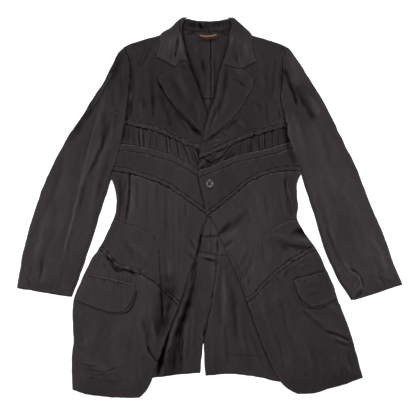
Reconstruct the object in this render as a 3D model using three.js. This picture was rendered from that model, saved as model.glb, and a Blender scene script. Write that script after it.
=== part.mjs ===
import * as THREE from "three";

// A long jacket laid flat, front side up. X runs to the right of the picture, Y towards the collar
// and Z up from the surface. Left and right in the names are the wearer's. All sizes are in mm.

// Cloth and clearances.
const clothWall = 1.4;
const seamGap = 0.3;
const layerGap = 0.6;
const tapeProud = 1.0;

// How far the front rises over the back, and how fast it does so in from an edge.
const frontRise = 3.0;
const riseReach = 30;

// The right side's front reaches this far under the left side's.
const overlapFull = 8;
const overlapEnd = 40;

const buttonRadius = 9.4;
const buttonHigh = 3.2;
const loopWide = 5;
const labelWide = 39;
const labelDeep = 6;
const loopThick = 1.2;
const buttonX = 1;
const buttonY = 56;

// Seams are drawn as straight stretches of this length.
const edgeStep = 24;

// Seams and edges, each from top to bottom or from left to right.
const rightSide = soften([
  { x: -231, y: 70 }, { x: -222, y: 46 }, { x: -218, y: 8 }, { x: -226, y: -29 },
  { x: -235, y: -48 }, { x: -253, y: -86 }, { x: -278, y: -123 }, { x: -296, y: -161 },
  { x: -313, y: -198 }, { x: -320, y: -222 }, { x: -321, y: -274 }, { x: -319, y: -311 },
  { x: -323, y: -349 }, { x: -322, y: -427 },
]);
const leftSide = soften([
  { x: 217, y: 82 }, { x: 207, y: 60 }, { x: 208, y: 8 }, { x: 208, y: -29 }, { x: 217, y: -48 },
  { x: 230, y: -67 }, { x: 256, y: -104 }, { x: 273, y: -142 }, { x: 291, y: -180 },
  { x: 303, y: -217 }, { x: 318, y: -255 }, { x: 331, y: -292 }, { x: 342, y: -330 },
  { x: 352, y: -368 }, { x: 361, y: -400 },
]);
const rightShoulder = soften([
  { x: -200, y: 378 }, { x: -171, y: 389 }, { x: -147, y: 396 }, { x: -114, y: 406 },
  { x: -67, y: 421 },
]);
const leftShoulder = soften([
  { x: 51, y: 421 }, { x: 98, y: 405 }, { x: 130, y: 396 }, { x: 153, y: 389 }, { x: 172, y: 382 },
  { x: 186, y: 375 },
]);
const rightArmhole = soften([
  { x: -200, y: 378 }, { x: -188, y: 342 }, { x: -186, y: 314 }, { x: -189, y: 279 },
  { x: -193, y: 243 }, { x: -199, y: 198 }, { x: -206, y: 159 }, { x: -217, y: 119 },
  { x: -231, y: 74 },
]);
const leftArmhole = soften([
  { x: 186, y: 375 }, { x: 174, y: 354 }, { x: 173, y: 300 }, { x: 167, y: 262 },
  { x: 177, y: 214 }, { x: 183, y: 175 }, { x: 192, y: 146 }, { x: 208, y: 107 },
  { x: 218, y: 86 },
]);
const rightSleeveOuter = soften([
  { x: -213, y: 366 }, { x: -232, y: 328 }, { x: -251, y: 290 }, { x: -276, y: 253 },
  { x: -299, y: 215 }, { x: -325, y: 178 }, { x: -347, y: 140 }, { x: -367, y: 102 },
  { x: -384, y: 65 }, { x: -399, y: 27 }, { x: -411, y: -10 }, { x: -423, y: -48 },
  { x: -433, y: -86 }, { x: -441, y: -123 }, { x: -448, y: -161 }, { x: -452, y: -189 },
]);
const rightSleeveInner = soften([
  { x: -234, y: 71 }, { x: -243, y: 46 }, { x: -255, y: 8 }, { x: -267, y: -29 },
  { x: -278, y: -67 }, { x: -291, y: -104 }, { x: -303, y: -142 }, { x: -317, y: -180 },
  { x: -329, y: -210 },
]);
const leftSleeveOuter = soften([
  { x: 193, y: 367 }, { x: 220, y: 328 }, { x: 243, y: 290 }, { x: 266, y: 253 },
  { x: 286, y: 215 }, { x: 304, y: 178 }, { x: 322, y: 140 }, { x: 342, y: 102 },
  { x: 357, y: 65 }, { x: 371, y: 27 }, { x: 386, y: -10 }, { x: 403, y: -48 }, { x: 418, y: -86 },
  { x: 430, y: -123 }, { x: 446, y: -161 }, { x: 454, y: -181 },
]);
const leftSleeveInner = soften([
  { x: 220, y: 82 }, { x: 231, y: 46 }, { x: 244, y: 8 }, { x: 256, y: -29 }, { x: 266, y: -67 },
  { x: 278, y: -104 }, { x: 295, y: -142 }, { x: 314, y: -180 }, { x: 340, y: -218 },
]);
const rightRoll = soften([
  { x: -67, y: 421 }, { x: -59, y: 382 }, { x: -48, y: 342 }, { x: -36, y: 307 },
  { x: -23, y: 269 }, { x: -12, y: 239 }, { x: -2, y: 211 }, { x: 3, y: 178 }, { x: 4, y: 135 },
]);
const leftRoll = soften([
  { x: 51, y: 421 }, { x: 45, y: 389 }, { x: 34, y: 350 }, { x: 23, y: 317 }, { x: 16, y: 277 },
  { x: 10, y: 251 }, { x: -3, y: 213 }, { x: -11, y: 185 }, { x: -18, y: 161 }, { x: -23, y: 128 },
]);
const rightYokeSeam = soften([
  { x: -199, y: 202 }, { x: -165, y: 193 }, { x: -120, y: 182 }, { x: -75, y: 161 },
  { x: -45, y: 149 }, { x: -20, y: 141 }, { x: 4, y: 132 },
]);
const leftYokeSeam = soften([
  { x: -23, y: 120 }, { x: -9, y: 125 }, { x: 35, y: 144 }, { x: 76, y: 163 }, { x: 122, y: 178 },
  { x: 180, y: 194 },
]);
const rightBandTop = soften([
  { x: -211, y: 135 }, { x: -157, y: 127 }, { x: -120, y: 118 }, { x: -90, y: 109 },
  { x: -60, y: 94 }, { x: -30, y: 76 }, { x: 4, y: 60 },
]);
const leftBandTop = soften([
  { x: -26, y: 71 }, { x: -8, y: 77 }, { x: 30, y: 92 }, { x: 70, y: 108 }, { x: 128, y: 120 },
  { x: 175, y: 134 }, { x: 195, y: 140 },
]);
const rightBandFoot = soften([
  { x: -227, y: 92 }, { x: -180, y: 83 }, { x: -142, y: 71 }, { x: -105, y: 57 },
  { x: -60, y: 28 }, { x: -27, y: 4 }, { x: -2, y: -13 },
]);
const leftBandFoot = soften([
  { x: -9, y: -16 }, { x: 2, y: -9 }, { x: 47, y: 26 }, { x: 93, y: 64 }, { x: 134, y: 82 },
  { x: 169, y: 90 }, { x: 215, y: 92 },
]);
const rightPrincess = soften([
  { x: -185, y: 84 }, { x: -188, y: 30 }, { x: -195, y: -29 }, { x: -197, y: -36 },
]);
const leftPrincess = soften([
  { x: 180, y: 90 }, { x: 191, y: 18 }, { x: 187, y: -27 }, { x: 186, y: -31 },
]);
const rightHipSeam = [
  { x: -225, y: -26 }, { x: -197, y: -36 }, { x: -158, y: -50 }, { x: -129, y: -67 },
];
const leftHipSeam = [
  { x: 131, y: -62 }, { x: 169, y: -38 }, { x: 186, y: -31 }, { x: 208, y: -27 },
];
const rightHipDart = soften([
  { x: -129, y: -67 }, { x: -120, y: -91 }, { x: -117, y: -135 }, { x: -114, y: -188 },
]);
const leftHipDart = soften([
  { x: 131, y: -62 }, { x: 124, y: -90 }, { x: 122, y: -128 }, { x: 122, y: -183 },
]);
const rightSkirtSeam = soften([
  { x: -256, y: -93 }, { x: -234, y: -114 }, { x: -217, y: -135 }, { x: -164, y: -150 },
  { x: -129, y: -170 }, { x: -100, y: -199 }, { x: -70, y: -227 },
]);
const leftSkirtSeam = soften([
  { x: 94, y: -217 }, { x: 140, y: -168 }, { x: 175, y: -138 }, { x: 210, y: -114 },
  { x: 249, y: -94 },
]);
const rightFrontEdge = soften([
  { x: -2, y: -15 }, { x: -23, y: -62 }, { x: -30, y: -103 }, { x: -53, y: -172 },
  { x: -70, y: -227 }, { x: -94, y: -290 }, { x: -117, y: -353 }, { x: -126, y: -379 },
  { x: -137, y: -410 }, { x: -152, y: -436 }, { x: -165, y: -447 },
]);
const leftFrontEdge = soften([
  { x: 0, y: -13 }, { x: 23, y: -64 }, { x: 47, y: -120 }, { x: 72, y: -180 }, { x: 90, y: -227 },
  { x: 122, y: -319 }, { x: 140, y: -360 }, { x: 157, y: -395 }, { x: 181, y: -424 },
  { x: 208, y: -438 },
]);
const rightHem = soften([
  { x: -322, y: -427 }, { x: -292, y: -438 }, { x: -258, y: -443 }, { x: -210, y: -447 },
  { x: -165, y: -447 },
]);
const leftHem = soften([
  { x: 208, y: -438 }, { x: 246, y: -436 }, { x: 280, y: -426 }, { x: 319, y: -415 },
  { x: 361, y: -400 },
]);
const rightBackHem = [
  { x: -321, y: -412 }, { x: -222, y: -405 }, { x: -123, y: -399 }, { x: -69, y: -392 },
  { x: -22, y: -389 },
];
const leftBackHem = [
  { x: -9, y: -395 }, { x: 47, y: -391 }, { x: 93, y: -395 }, { x: 128, y: -401 },
  { x: 169, y: -410 }, { x: 260, y: -407 }, { x: 357, y: -389 },
];
const centreBack = soften([
  { x: 17, y: -112 }, { x: 12, y: -179 }, { x: -2, y: -259 }, { x: -14, y: -319 },
]);
const ventRight = [
  { x: -15, y: -321 }, { x: -17, y: -349 }, { x: -20, y: -370 }, { x: -22, y: -389 },
];
const ventLeft = [
  { x: -13, y: -321 }, { x: -12, y: -349 }, { x: -11, y: -372 }, { x: -9, y: -395 },
];
const facingOuter = [
  { x: -32, y: -128 }, { x: -46, y: -175 }, { x: -64, y: -231 }, { x: -85, y: -297 },
  { x: -97, y: -338 }, { x: -107, y: -395 },
];
const facingInner = [
  { x: -27, y: -128 }, { x: -37, y: -189 }, { x: -61, y: -262 }, { x: -70, y: -319 },
  { x: -66, y: -391 },
];
const rightFlapTop = [
  { x: -289, y: -155 }, { x: -231, y: -167 }, { x: -173, y: -181 },
];
const rightFlapBottom = [
  { x: -315, y: -217 }, { x: -275, y: -234 }, { x: -228, y: -247 }, { x: -199, y: -243 },
];
const rightFlapRight = [
  { x: -173, y: -181 }, { x: -181, y: -219 }, { x: -199, y: -243 },
];
const leftFlapTop = [
  { x: 199, y: -170 }, { x: 237, y: -160 }, { x: 276, y: -148 },
];
const leftFlapBottom = [
  { x: 239, y: -234 }, { x: 269, y: -228 }, { x: 301, y: -212 },
];
const leftFlapLeft = [
  { x: 199, y: -170 }, { x: 213, y: -211 }, { x: 239, y: -234 },
];
const rightCollarOuter = [
  { x: -63, y: 446 }, { x: -74, y: 439 }, { x: -90, y: 424 }, { x: -114, y: 407 },
  { x: -115, y: 387 }, { x: -124, y: 353 },
];
const rightCollarInner = [
  { x: -51, y: 446 }, { x: -63, y: 431 }, { x: -63, y: 403 }, { x: -57, y: 374 },
  { x: -51, y: 345 },
];
const rightCollarBottom = [
  { x: -124, y: 353 }, { x: -99, y: 341 }, { x: -80, y: 330 }, { x: -66, y: 343 }, { x: -51, y: 345 },
];
const leftCollarInner = [
  { x: 43, y: 446 }, { x: 52, y: 431 }, { x: 46, y: 403 }, { x: 44, y: 380 }, { x: 31, y: 337 },
];
const leftCollarOuter = [
  { x: 58, y: 446 }, { x: 82, y: 424 }, { x: 100, y: 405 }, { x: 102, y: 372 }, { x: 110, y: 343 },
];
const leftCollarBottom = [
  { x: 31, y: 337 }, { x: 53, y: 329 }, { x: 77, y: 326 }, { x: 110, y: 343 },
];
const rightLapelOuter = [
  { x: -80, y: 328 }, { x: -122, y: 305 }, { x: -105, y: 270 }, { x: -81, y: 239 },
  { x: -56, y: 213 }, { x: -23, y: 180 },
];
const rightLapelRoll = [
  { x: -51, y: 343 }, { x: -36, y: 307 }, { x: -23, y: 270 }, { x: -12, y: 239 },
  { x: -6, y: 220 }, { x: -13, y: 194 }, { x: -19, y: 179 },
];
const leftLapelOuter = [
  { x: 77, y: 325 }, { x: 106, y: 302 }, { x: 98, y: 277 }, { x: 83, y: 250 }, { x: 71, y: 229 },
  { x: 47, y: 201 }, { x: 16, y: 176 }, { x: -12, y: 155 },
];
const leftLapelRoll = [
  { x: 30, y: 335 }, { x: 24, y: 317 }, { x: 17, y: 277 }, { x: 11, y: 251 }, { x: -2, y: 213 },
  { x: -10, y: 185 }, { x: -16, y: 159 },
];
const standTop = [
  { x: -66, y: 438 }, { x: -51, y: 444 }, { x: -27, y: 439 }, { x: -1, y: 438 }, { x: 23, y: 439 },
  { x: 43, y: 444 }, { x: 58, y: 438 },
];
const standBottom = [
  { x: -67, y: 421 }, { x: -58, y: 416 }, { x: -29, y: 412 }, { x: -1, y: 411 }, { x: 25, y: 412 },
  { x: 48, y: 416 }, { x: 51, y: 421 },
];
const loopLine = [
  { x: -33, y: 410 }, { x: -24, y: 403 }, { x: -3, y: 397 }, { x: 16, y: 400 }, { x: 29, y: 410 },
];

// Soft ridges of the front and sleeves, each from one end to the other.
const folds = [
  { x1: 30, y1: -60, x2: 78, y2: -170, high: 1.8, wide: 13 },
  { x1: 70, y1: -70, x2: 100, y2: -150, high: 1.4, wide: 12 },
  { x1: 118, y1: -250, x2: 190, y2: -395, high: 2.0, wide: 16 },
  { x1: 160, y1: -215, x2: 235, y2: -370, high: 1.5, wide: 15 },
  { x1: 255, y1: -262, x2: 318, y2: -305, high: 1.4, wide: 11 },
  { x1: -60, y1: -60, x2: -92, y2: -180, high: 1.6, wide: 13 },
  { x1: -95, y1: -230, x2: -140, y2: -390, high: 1.7, wide: 15 },
  { x1: -160, y1: -255, x2: -152, y2: -345, high: 1.3, wide: 12 },
  { x1: -215, y1: -290, x2: -225, y2: -400, high: 1.6, wide: 15 },
  { x1: -290, y1: -370, x2: -240, y2: -385, high: 1.2, wide: 11 },
  { x1: -262, y1: 190, x2: -300, y2: 60, high: 1.8, wide: 15 },
  { x1: -322, y1: 60, x2: -372, y2: -120, high: 1.3, wide: 14 },
  { x1: 245, y1: 180, x2: 292, y2: 60, high: 1.6, wide: 15 },
  { x1: 310, y1: 40, x2: 372, y2: -110, high: 1.4, wide: 14 },
];

// Gathers of the band between the two upper seams: place along X, lean and depth.
const rightGathers = [
  { x: -176, lean: 0.1, deep: 0.7 }, { x: -163, lean: 0.1, deep: 1.1 },
  { x: -152, lean: 0.1, deep: 1.0 }, { x: -139, lean: 0.1, deep: 0.6 },
  { x: -126, lean: 0.15, deep: 0.7 }, { x: -113, lean: 0.2, deep: 0.6 },
  { x: -100, lean: 0.3, deep: 1.1 }, { x: -86, lean: 0.35, deep: 0.7 },
  { x: -74, lean: 0.4, deep: 1.1 }, { x: -60, lean: 0.4, deep: 0.8 }, { x: -45, lean: 0.4, deep: 0.7 },
];
const leftGathers = [
  { x: 22, lean: -0.5, deep: 0.9 }, { x: 36, lean: -0.5, deep: 0.8 }, { x: 50, lean: -0.4, deep: 0.7 },
  { x: 64, lean: -0.35, deep: 0.9 }, { x: 80, lean: -0.3, deep: 0.7 }, { x: 95, lean: -0.25, deep: 1.1 },
  { x: 108, lean: -0.2, deep: 0.7 }, { x: 118, lean: -0.15, deep: 1.1 }, { x: 131, lean: -0.1, deep: 0.9 },
  { x: 146, lean: -0.1, deep: 0.6 }, { x: 160, lean: 0, deep: 0.7 },
];
const gatherWide = 5;

const fabric = { color: 0x393535, roughness: 0.62 };

function smooth(from, to, value) {
  const part = Math.min(1, Math.max(0, (value - from) / (to - from)));
  return part * part * (3 - 2 * part);
}

function toSegment(x, y, a, b) {
  const dx = b.x - a.x;
  const dy = b.y - a.y;
  const along = ((x - a.x) * dx + (y - a.y) * dy) / (dx * dx + dy * dy || 1);
  const part = Math.min(1, Math.max(0, along));
  return Math.hypot(x - a.x - part * dx, y - a.y - part * dy);
}

// An edge with its bends rounded, as short straight stretches.
function soften(rows, step = edgeStep) {
  const points = rows.map((row) => new THREE.Vector3(row.x, row.y, 0));
  const line = new THREE.CatmullRomCurve3(points, false, "centripetal");
  const count = Math.max(1, Math.round(line.getLength() / step));
  return line.getSpacedPoints(count).map((point) => ({ x: point.x, y: point.y }));
}

// The same edge with more points on its straight stretches, never fewer.
function divided(rows, count) {
  const parts = rows.slice(1).map(() => 1);
  const long = parts.map((part, i) => Math.hypot(rows[i + 1].x - rows[i].x, rows[i + 1].y - rows[i].y));
  for (let total = parts.length; total < count; total += 1) {
    let widest = 0;
    parts.forEach((part, i) => {
      if (long[i] / part > long[widest] / parts[widest]) {
        widest = i;
      }
    });
    parts[widest] += 1;
  }
  const points = [rows[0]];
  parts.forEach((part, i) => {
    for (let k = 1; k <= part; k += 1) {
      points.push(mix(rows[i], rows[i + 1], k / part));
    }
  });
  return points;
}

function mix(a, b, part) {
  return { x: a.x + part * (b.x - a.x), y: a.y + part * (b.y - a.y) };
}

function shifted(rows, dy) {
  return rows.map((row) => ({ x: row.x, y: row.y + dy }));
}

// The place on a falling edge at a height.
function atHeight(rows, y) {
  for (let i = 0; i < rows.length - 1; i += 1) {
    if (rows[i].y >= y && rows[i + 1].y <= y) {
      return mix(rows[i], rows[i + 1], (rows[i].y - y) / (rows[i].y - rows[i + 1].y || 1));
    }
  }
  return y > rows[0].y ? rows[0] : rows[rows.length - 1];
}

// The stretch of a falling edge between two points on it.
function between(rows, from, to) {
  return [from, ...rows.filter((point) => point.y < from.y - 0.5 && point.y > to.y + 0.5), to];
}

// A seam moved up or down, with its ends set on the edges that it meets.
function across(rows, dy, leftEdge, rightEdge) {
  const moved = shifted(rows, dy);
  moved[0] = atHeight(leftEdge, moved[0].y);
  moved[moved.length - 1] = atHeight(rightEdge, moved[moved.length - 1].y);
  return moved;
}

// A seam in two parts, parted where it passes x.
function partedAt(rows, x) {
  const i = rows.findIndex((point, k) => k > 0 && point.x >= x) - 1;
  const place = mix(rows[i], rows[i + 1], (x - rows[i].x) / (rows[i + 1].x - rows[i].x));
  return [[...rows.slice(0, i + 1), place], [place, ...rows.slice(i + 1)]];
}

function joined(...edges) {
  const all = edges.flat();
  return all.filter((point, i) => i === 0 || Math.hypot(point.x - all[i - 1].x, point.y - all[i - 1].y) > 1);
}

const endOf = (rows) => rows[rows.length - 1];

// Edges where the front comes down on the back.
const freeEdges = [
  rightShoulder, leftShoulder, rightSleeveOuter, rightSleeveInner, leftSleeveOuter, leftSleeveInner,
  rightSide, leftSide, rightHem, leftHem, rightFrontEdge, leftFrontEdge,
  [endOf(rightSleeveOuter), endOf(rightSleeveInner)],
  [endOf(leftSleeveInner), endOf(leftSleeveOuter)],
];

function edgeDistance(x, y) {
  let near = Infinity;
  for (const rows of freeEdges) {
    for (let i = 0; i < rows.length - 1; i += 1) {
      near = Math.min(near, toSegment(x, y, rows[i], rows[i + 1]));
    }
  }
  return near;
}

function lift(x, y) {
  return 1 - Math.exp(-((edgeDistance(x, y) / riseReach) ** 2));
}

function foldHeight(x, y) {
  let high = 0;
  for (const fold of folds) {
    const away = toSegment(x, y, { x: fold.x1, y: fold.y1 }, { x: fold.x2, y: fold.y2 });
    high += fold.high * Math.exp(-((away / fold.wide) ** 2));
  }
  return high;
}

// Underside of the front cloth, and of what lies on it.
function frontUnder(x, y) {
  return clothWall + seamGap + lift(x, y) * (frontRise + foldHeight(x, y));
}

function overLift(x, y) {
  const across = 1 - smooth(overlapFull, overlapEnd, x);
  const along = smooth(-70, -20, y) * (1 - smooth(205, 250, y));
  return across * along * (clothWall + layerGap);
}

const leftUnder = (x, y) => frontUnder(x, y) + overLift(x, y);
const onRight = (x, y) => frontUnder(x, y) + clothWall + layerGap;
const onLeft = (x, y) => leftUnder(x, y) + clothWall + layerGap;
const onFloor = () => 0;

function gatherHeight(rows, middleY) {
  return (x, y) => {
    let high = 0;
    for (const row of rows) {
      const away = x - row.x - row.lean * (middleY - y);
      high += row.deep * Math.exp(-((away / gatherWide) ** 2));
    }
    return high * smooth(0, 20, edgeDistance(x, y));
  };
}

// How far along two facing edges each pair of their points lies.
function parts(edgeA, edgeB) {
  const run = (points) => {
    const reach = [0];
    for (let i = 1; i < points.length; i += 1) {
      const step = Math.hypot(points[i].x - points[i - 1].x, points[i].y - points[i - 1].y);
      reach.push(reach[i - 1] + step);
    }
    return reach.map((value) => value / reach[reach.length - 1]);
  };
  const runB = run(edgeB);
  return run(edgeA).map((value, i) => (value + runB[i]) / 2);
}

// A four-sided piece of cloth, between a left, right, top and bottom edge.
function patch({ left, right, top, bottom, columns = 1, rows = 1 }) {
  const topEdge = top ?? [left[0], right[0]];
  const bottomEdge = bottom ?? [endOf(left), endOf(right)];
  const down = Math.max(rows, left.length - 1, right.length - 1);
  const over = Math.max(columns, topEdge.length - 1, bottomEdge.length - 1);
  const leftPoints = divided(left, down);
  const rightPoints = divided(right, down);
  const topPoints = divided(topEdge, over);
  const bottomPoints = divided(bottomEdge, over);
  const downParts = parts(leftPoints, rightPoints);
  const overParts = parts(topPoints, bottomPoints);
  const grid = [];
  for (let j = 0; j <= down; j += 1) {
    const t = downParts[j];
    const line = [];
    for (let i = 0; i <= over; i += 1) {
      const s = overParts[i];
      const blend = (axis) => (1 - t) * topPoints[i][axis] + t * bottomPoints[i][axis]
        + (1 - s) * leftPoints[j][axis] + s * rightPoints[j][axis]
        - (1 - s) * (1 - t) * leftPoints[0][axis] - s * (1 - t) * rightPoints[0][axis]
        - (1 - s) * t * leftPoints[down][axis] - s * t * rightPoints[down][axis];
      line.push({ x: blend("x"), y: blend("y") });
    }
    grid.push(line);
  }
  return grid;
}

// Places of a grid's outer points, in order round it.
function rimOf(grid) {
  const rows = grid.length - 1;
  const columns = grid[0].length - 1;
  const rim = [];
  for (let i = 0; i < columns; i += 1) {
    rim.push([0, i]);
  }
  for (let j = 0; j < rows; j += 1) {
    rim.push([j, columns]);
  }
  for (let i = columns; i > 0; i -= 1) {
    rim.push([rows, i]);
  }
  for (let j = rows; j > 0; j -= 1) {
    rim.push([j, 0]);
  }
  return rim;
}

// Draws the outer points in by half a seam's gap.
function drawIn(grid, by) {
  const rim = rimOf(grid);
  const at = (k) => {
    const [j, i] = rim[(k + rim.length) % rim.length];
    return grid[j][i];
  };
  const normal = (a, b) => {
    const dx = b.x - a.x;
    const dy = b.y - a.y;
    const size = Math.hypot(dx, dy) || 1;
    return { x: dy / size, y: -dx / size };
  };
  const moves = rim.map((place, k) => {
    const before = normal(at(k - 1), at(k));
    const after = normal(at(k), at(k + 1));
    const spread = Math.max(0.5, 1 + before.x * after.x + before.y * after.y);
    return { x: (before.x + after.x) / spread, y: (before.y + after.y) / spread };
  });
  rim.forEach(([j, i], k) => {
    const point = grid[j][i];
    grid[j][i] = { x: point.x + moves[k].x * by, y: point.y + moves[k].y * by };
  });
}

function clothMesh(name, slot, grid, under, thick) {
  drawIn(grid, seamGap / 2);
  const rows = grid.length;
  const columns = grid[0].length;
  const wallAt = typeof thick === "function" ? thick : () => thick;
  const places = [];
  for (const side of [0, 1]) {
    for (const line of grid) {
      for (const { x, y } of line) {
        places.push(x, y, under(x, y) + side * wallAt(x, y));
      }
    }
  }
  const index = [];
  const low = (j, i) => j * columns + i;
  const high = (j, i) => rows * columns + j * columns + i;
  for (let j = 0; j < rows - 1; j += 1) {
    for (let i = 0; i < columns - 1; i += 1) {
      index.push(high(j, i), high(j + 1, i), high(j + 1, i + 1));
      index.push(high(j, i), high(j + 1, i + 1), high(j, i + 1));
      index.push(low(j, i), low(j + 1, i + 1), low(j + 1, i));
      index.push(low(j, i), low(j, i + 1), low(j + 1, i + 1));
    }
  }
  const rim = rimOf(grid);
  rim.forEach(([j, i], k) => {
    const [nextJ, nextI] = rim[(k + 1) % rim.length];
    index.push(low(j, i), high(j, i), high(nextJ, nextI));
    index.push(low(j, i), high(nextJ, nextI), low(nextJ, nextI));
  });
  const geometry = new THREE.BufferGeometry();
  geometry.setAttribute("position", new THREE.Float32BufferAttribute(places, 3));
  geometry.setIndex(index);
  geometry.computeVertexNormals();
  return finish(name, slot, geometry);
}

const materials = {
  fabric: new THREE.MeshStandardMaterial({ name: "fabric", ...fabric }),
  button: new THREE.MeshStandardMaterial({ name: "button", color: 0x2b2624, roughness: 0.25 }),
  label: new THREE.MeshStandardMaterial({ name: "label", color: 0xb5602c, roughness: 0.7 }),
};
const jacket = new THREE.Group();
jacket.name = "jacket";

function finish(name, slot, geometry) {
  const mesh = new THREE.Mesh(geometry, materials[slot].clone());
  mesh.name = name;
  jacket.add(mesh);
  return mesh;
}

function sew(name, under, shape, thick = clothWall) {
  return clothMesh(name, "fabric", patch(shape), under, thick);
}

const tapeHalf = 5.5;
const bandTape = 16;
const turnY = -50;
const middleX = 4;

// The middle edge of the right front, under the left.
const rightMiddle = joined(rightRoll, [{ x: middleX, y: 60 }, { x: 1, y: -2 }, { x: -2, y: -15 }]);
const leftMiddle = joined(leftRoll, [
  { x: -27, y: 100 }, { x: -26, y: 72 }, { x: -19, y: 44 }, { x: -13, y: 16 }, { x: -9, y: -10 },
  { x: -8, y: -18 },
]);

// Wearer's right front, on the left of the picture.
const proud = clothWall + tapeProud;
const rightTaper = (x) => clothWall + tapeProud * (1 - smooth(-50, -32, x));
const rightYokeLow = across(rightYokeSeam, tapeHalf, rightArmhole, rightMiddle);
const rightGatherTop = across(rightYokeSeam, -tapeHalf, rightArmhole, rightMiddle);
const rightGatherLow = across(rightBandTop, bandTape, rightArmhole, rightMiddle);
const rightBandHigh = across(rightBandTop, 0, rightArmhole, rightMiddle);
const rightBandLow = across(rightBandFoot, tapeHalf, rightArmhole, rightMiddle);
const rightFootLow = across(rightBandFoot, -tapeHalf, rightArmhole, rightMiddle);

function strip(name, under, [top, bottom, leftEdge, rightEdge], thick = clothWall, columns = 1, rows = 1) {
  const left = between(leftEdge, top[0], bottom[0]);
  const right = between(rightEdge, endOf(top), endOf(bottom));
  return sew(name, under, { left, right, top, bottom, columns, rows }, thick);
}

const rightCross = [rightArmhole, rightMiddle];
const rightFolds = gatherHeight(rightGathers, 160);
const rightGathered = (x, y) => frontUnder(x, y) + rightFolds(x, y) * (1 - smooth(-60, -35, x));
strip("right_front_yoke", frontUnder, [rightShoulder, rightYokeLow, ...rightCross]);
strip("right_yoke_tape", frontUnder, [rightYokeLow, rightGatherTop, ...rightCross], rightTaper);
strip("right_gathered_band", rightGathered, [rightGatherTop, rightGatherLow, ...rightCross],
  clothWall, 46, 3,
);
strip("right_band_upper_tape", frontUnder, [rightGatherLow, rightBandHigh, ...rightCross], rightTaper);
strip("right_flat_band", frontUnder, [rightBandHigh, rightBandLow, ...rightCross], clothWall, 1, 3);
strip("right_band_lower_tape", frontUnder, [rightBandLow, rightFootLow, ...rightCross], rightTaper);

const [rightSideTop, rightFrontTop] = partedAt(rightFootLow, -185);
const rightPrincessSeam = joined([endOf(rightSideTop)], rightPrincess.slice(1));
const rightHipTop = joined([atHeight(rightSide, -26)], rightHipSeam.slice(1));
const rightHipInner = rightHipTop.slice(rightHipTop.findIndex((point) => point.x >= -197.5));
const rightBodySide = joined(rightArmhole.slice(-3), rightSide);
const rightSeamHigh = across(rightSkirtSeam, tapeHalf, rightSide, rightFrontEdge);
const rightSeamLow = across(rightSkirtSeam, -tapeHalf, rightSide, rightFrontEdge);
const [rightHipFoot, rightFrontFoot] = partedAt(rightSeamHigh, -114);
const rightDart = joined(rightHipDart.slice(0, -1), [rightFrontFoot[0]]);
sew("right_side_panel", frontUnder, {
  left: between(rightBodySide, rightSideTop[0], rightHipTop[0]), right: rightPrincessSeam,
  top: rightSideTop, bottom: rightHipTop.slice(0, rightHipTop.length - rightHipInner.length + 1), columns: 2,
});
const rightTurn = atHeight(rightFrontEdge, turnY);
const rightUpper = patch({
  left: rightPrincessSeam, right: between(rightFrontEdge, endOf(rightFrontTop), rightTurn),
  top: rightFrontTop, columns: 10,
});
const rightLower = patch({
  left: joined(rightHipInner, rightDart), right: between(rightFrontEdge, rightTurn, endOf(rightFrontFoot)),
  bottom: rightFrontFoot, columns: 10,
});
clothMesh("right_front_panel", "fabric", [...rightUpper, ...rightLower.slice(1)], frontUnder, clothWall);
sew("right_hip_panel", frontUnder, {
  left: between(rightSide, rightHipTop[0], rightHipFoot[0]), right: rightDart,
  top: rightHipTop, bottom: rightHipFoot,
});
strip("right_skirt_tape", frontUnder, [rightSeamHigh, rightSeamLow, rightSide, rightFrontEdge], proud);
sew("right_front_skirt", frontUnder, {
  left: between(rightSide, rightSeamLow[0], rightHem[0]),
  right: between(rightFrontEdge, endOf(rightSeamLow), endOf(rightHem)),
  top: rightSeamLow, bottom: rightHem,
});
sew("right_pocket_flap", onRight, {
  left: [rightFlapTop[0], rightFlapBottom[0]], right: rightFlapRight,
  top: rightFlapTop, bottom: rightFlapBottom, columns: 6, rows: 4,
});
sew("right_front_facing", () => clothWall + seamGap, {
  left: facingOuter, right: facingInner, columns: 2,
});
sew("right_lapel", onRight, {
  left: rightLapelOuter, right: rightLapelRoll, top: [rightLapelOuter[0], { x: -67, y: 341 }, rightLapelRoll[0]],
  columns: 5,
});
sew("right_collar_fall", onRight, {
  left: rightCollarOuter, right: rightCollarInner, bottom: rightCollarBottom, columns: 4,
});

// Wearer's left front, over the right one.
const leftYokeLow = across(leftYokeSeam, tapeHalf, leftMiddle, leftArmhole);
const leftGatherTop = across(leftYokeSeam, -tapeHalf, leftMiddle, leftArmhole);
const leftGatherLow = across(leftBandTop, bandTape, leftMiddle, leftArmhole);
const leftBandHigh = across(leftBandTop, 0, leftMiddle, leftArmhole);
const leftBandLow = across(leftBandFoot, tapeHalf, leftMiddle, leftArmhole);
const leftFootLow = across(leftBandFoot, -tapeHalf, leftMiddle, leftArmhole);
const leftCross = [leftMiddle, leftArmhole];
const leftFolds = gatherHeight(leftGathers, 160);
const leftGathered = (x, y) => leftUnder(x, y) + leftFolds(x, y);
strip("left_front_yoke", leftUnder, [leftShoulder, leftYokeLow, ...leftCross]);
strip("left_yoke_tape", leftUnder, [leftYokeLow, leftGatherTop, ...leftCross], proud);
strip("left_gathered_band", leftGathered, [leftGatherTop, leftGatherLow, ...leftCross],
  clothWall, 46, 3,
);
strip("left_band_upper_tape", leftUnder, [leftGatherLow, leftBandHigh, ...leftCross], proud);
strip("left_flat_band", leftUnder, [leftBandHigh, leftBandLow, ...leftCross], clothWall, 1, 3);
strip("left_band_lower_tape", leftUnder, [leftBandLow, leftFootLow, ...leftCross], proud);

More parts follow.
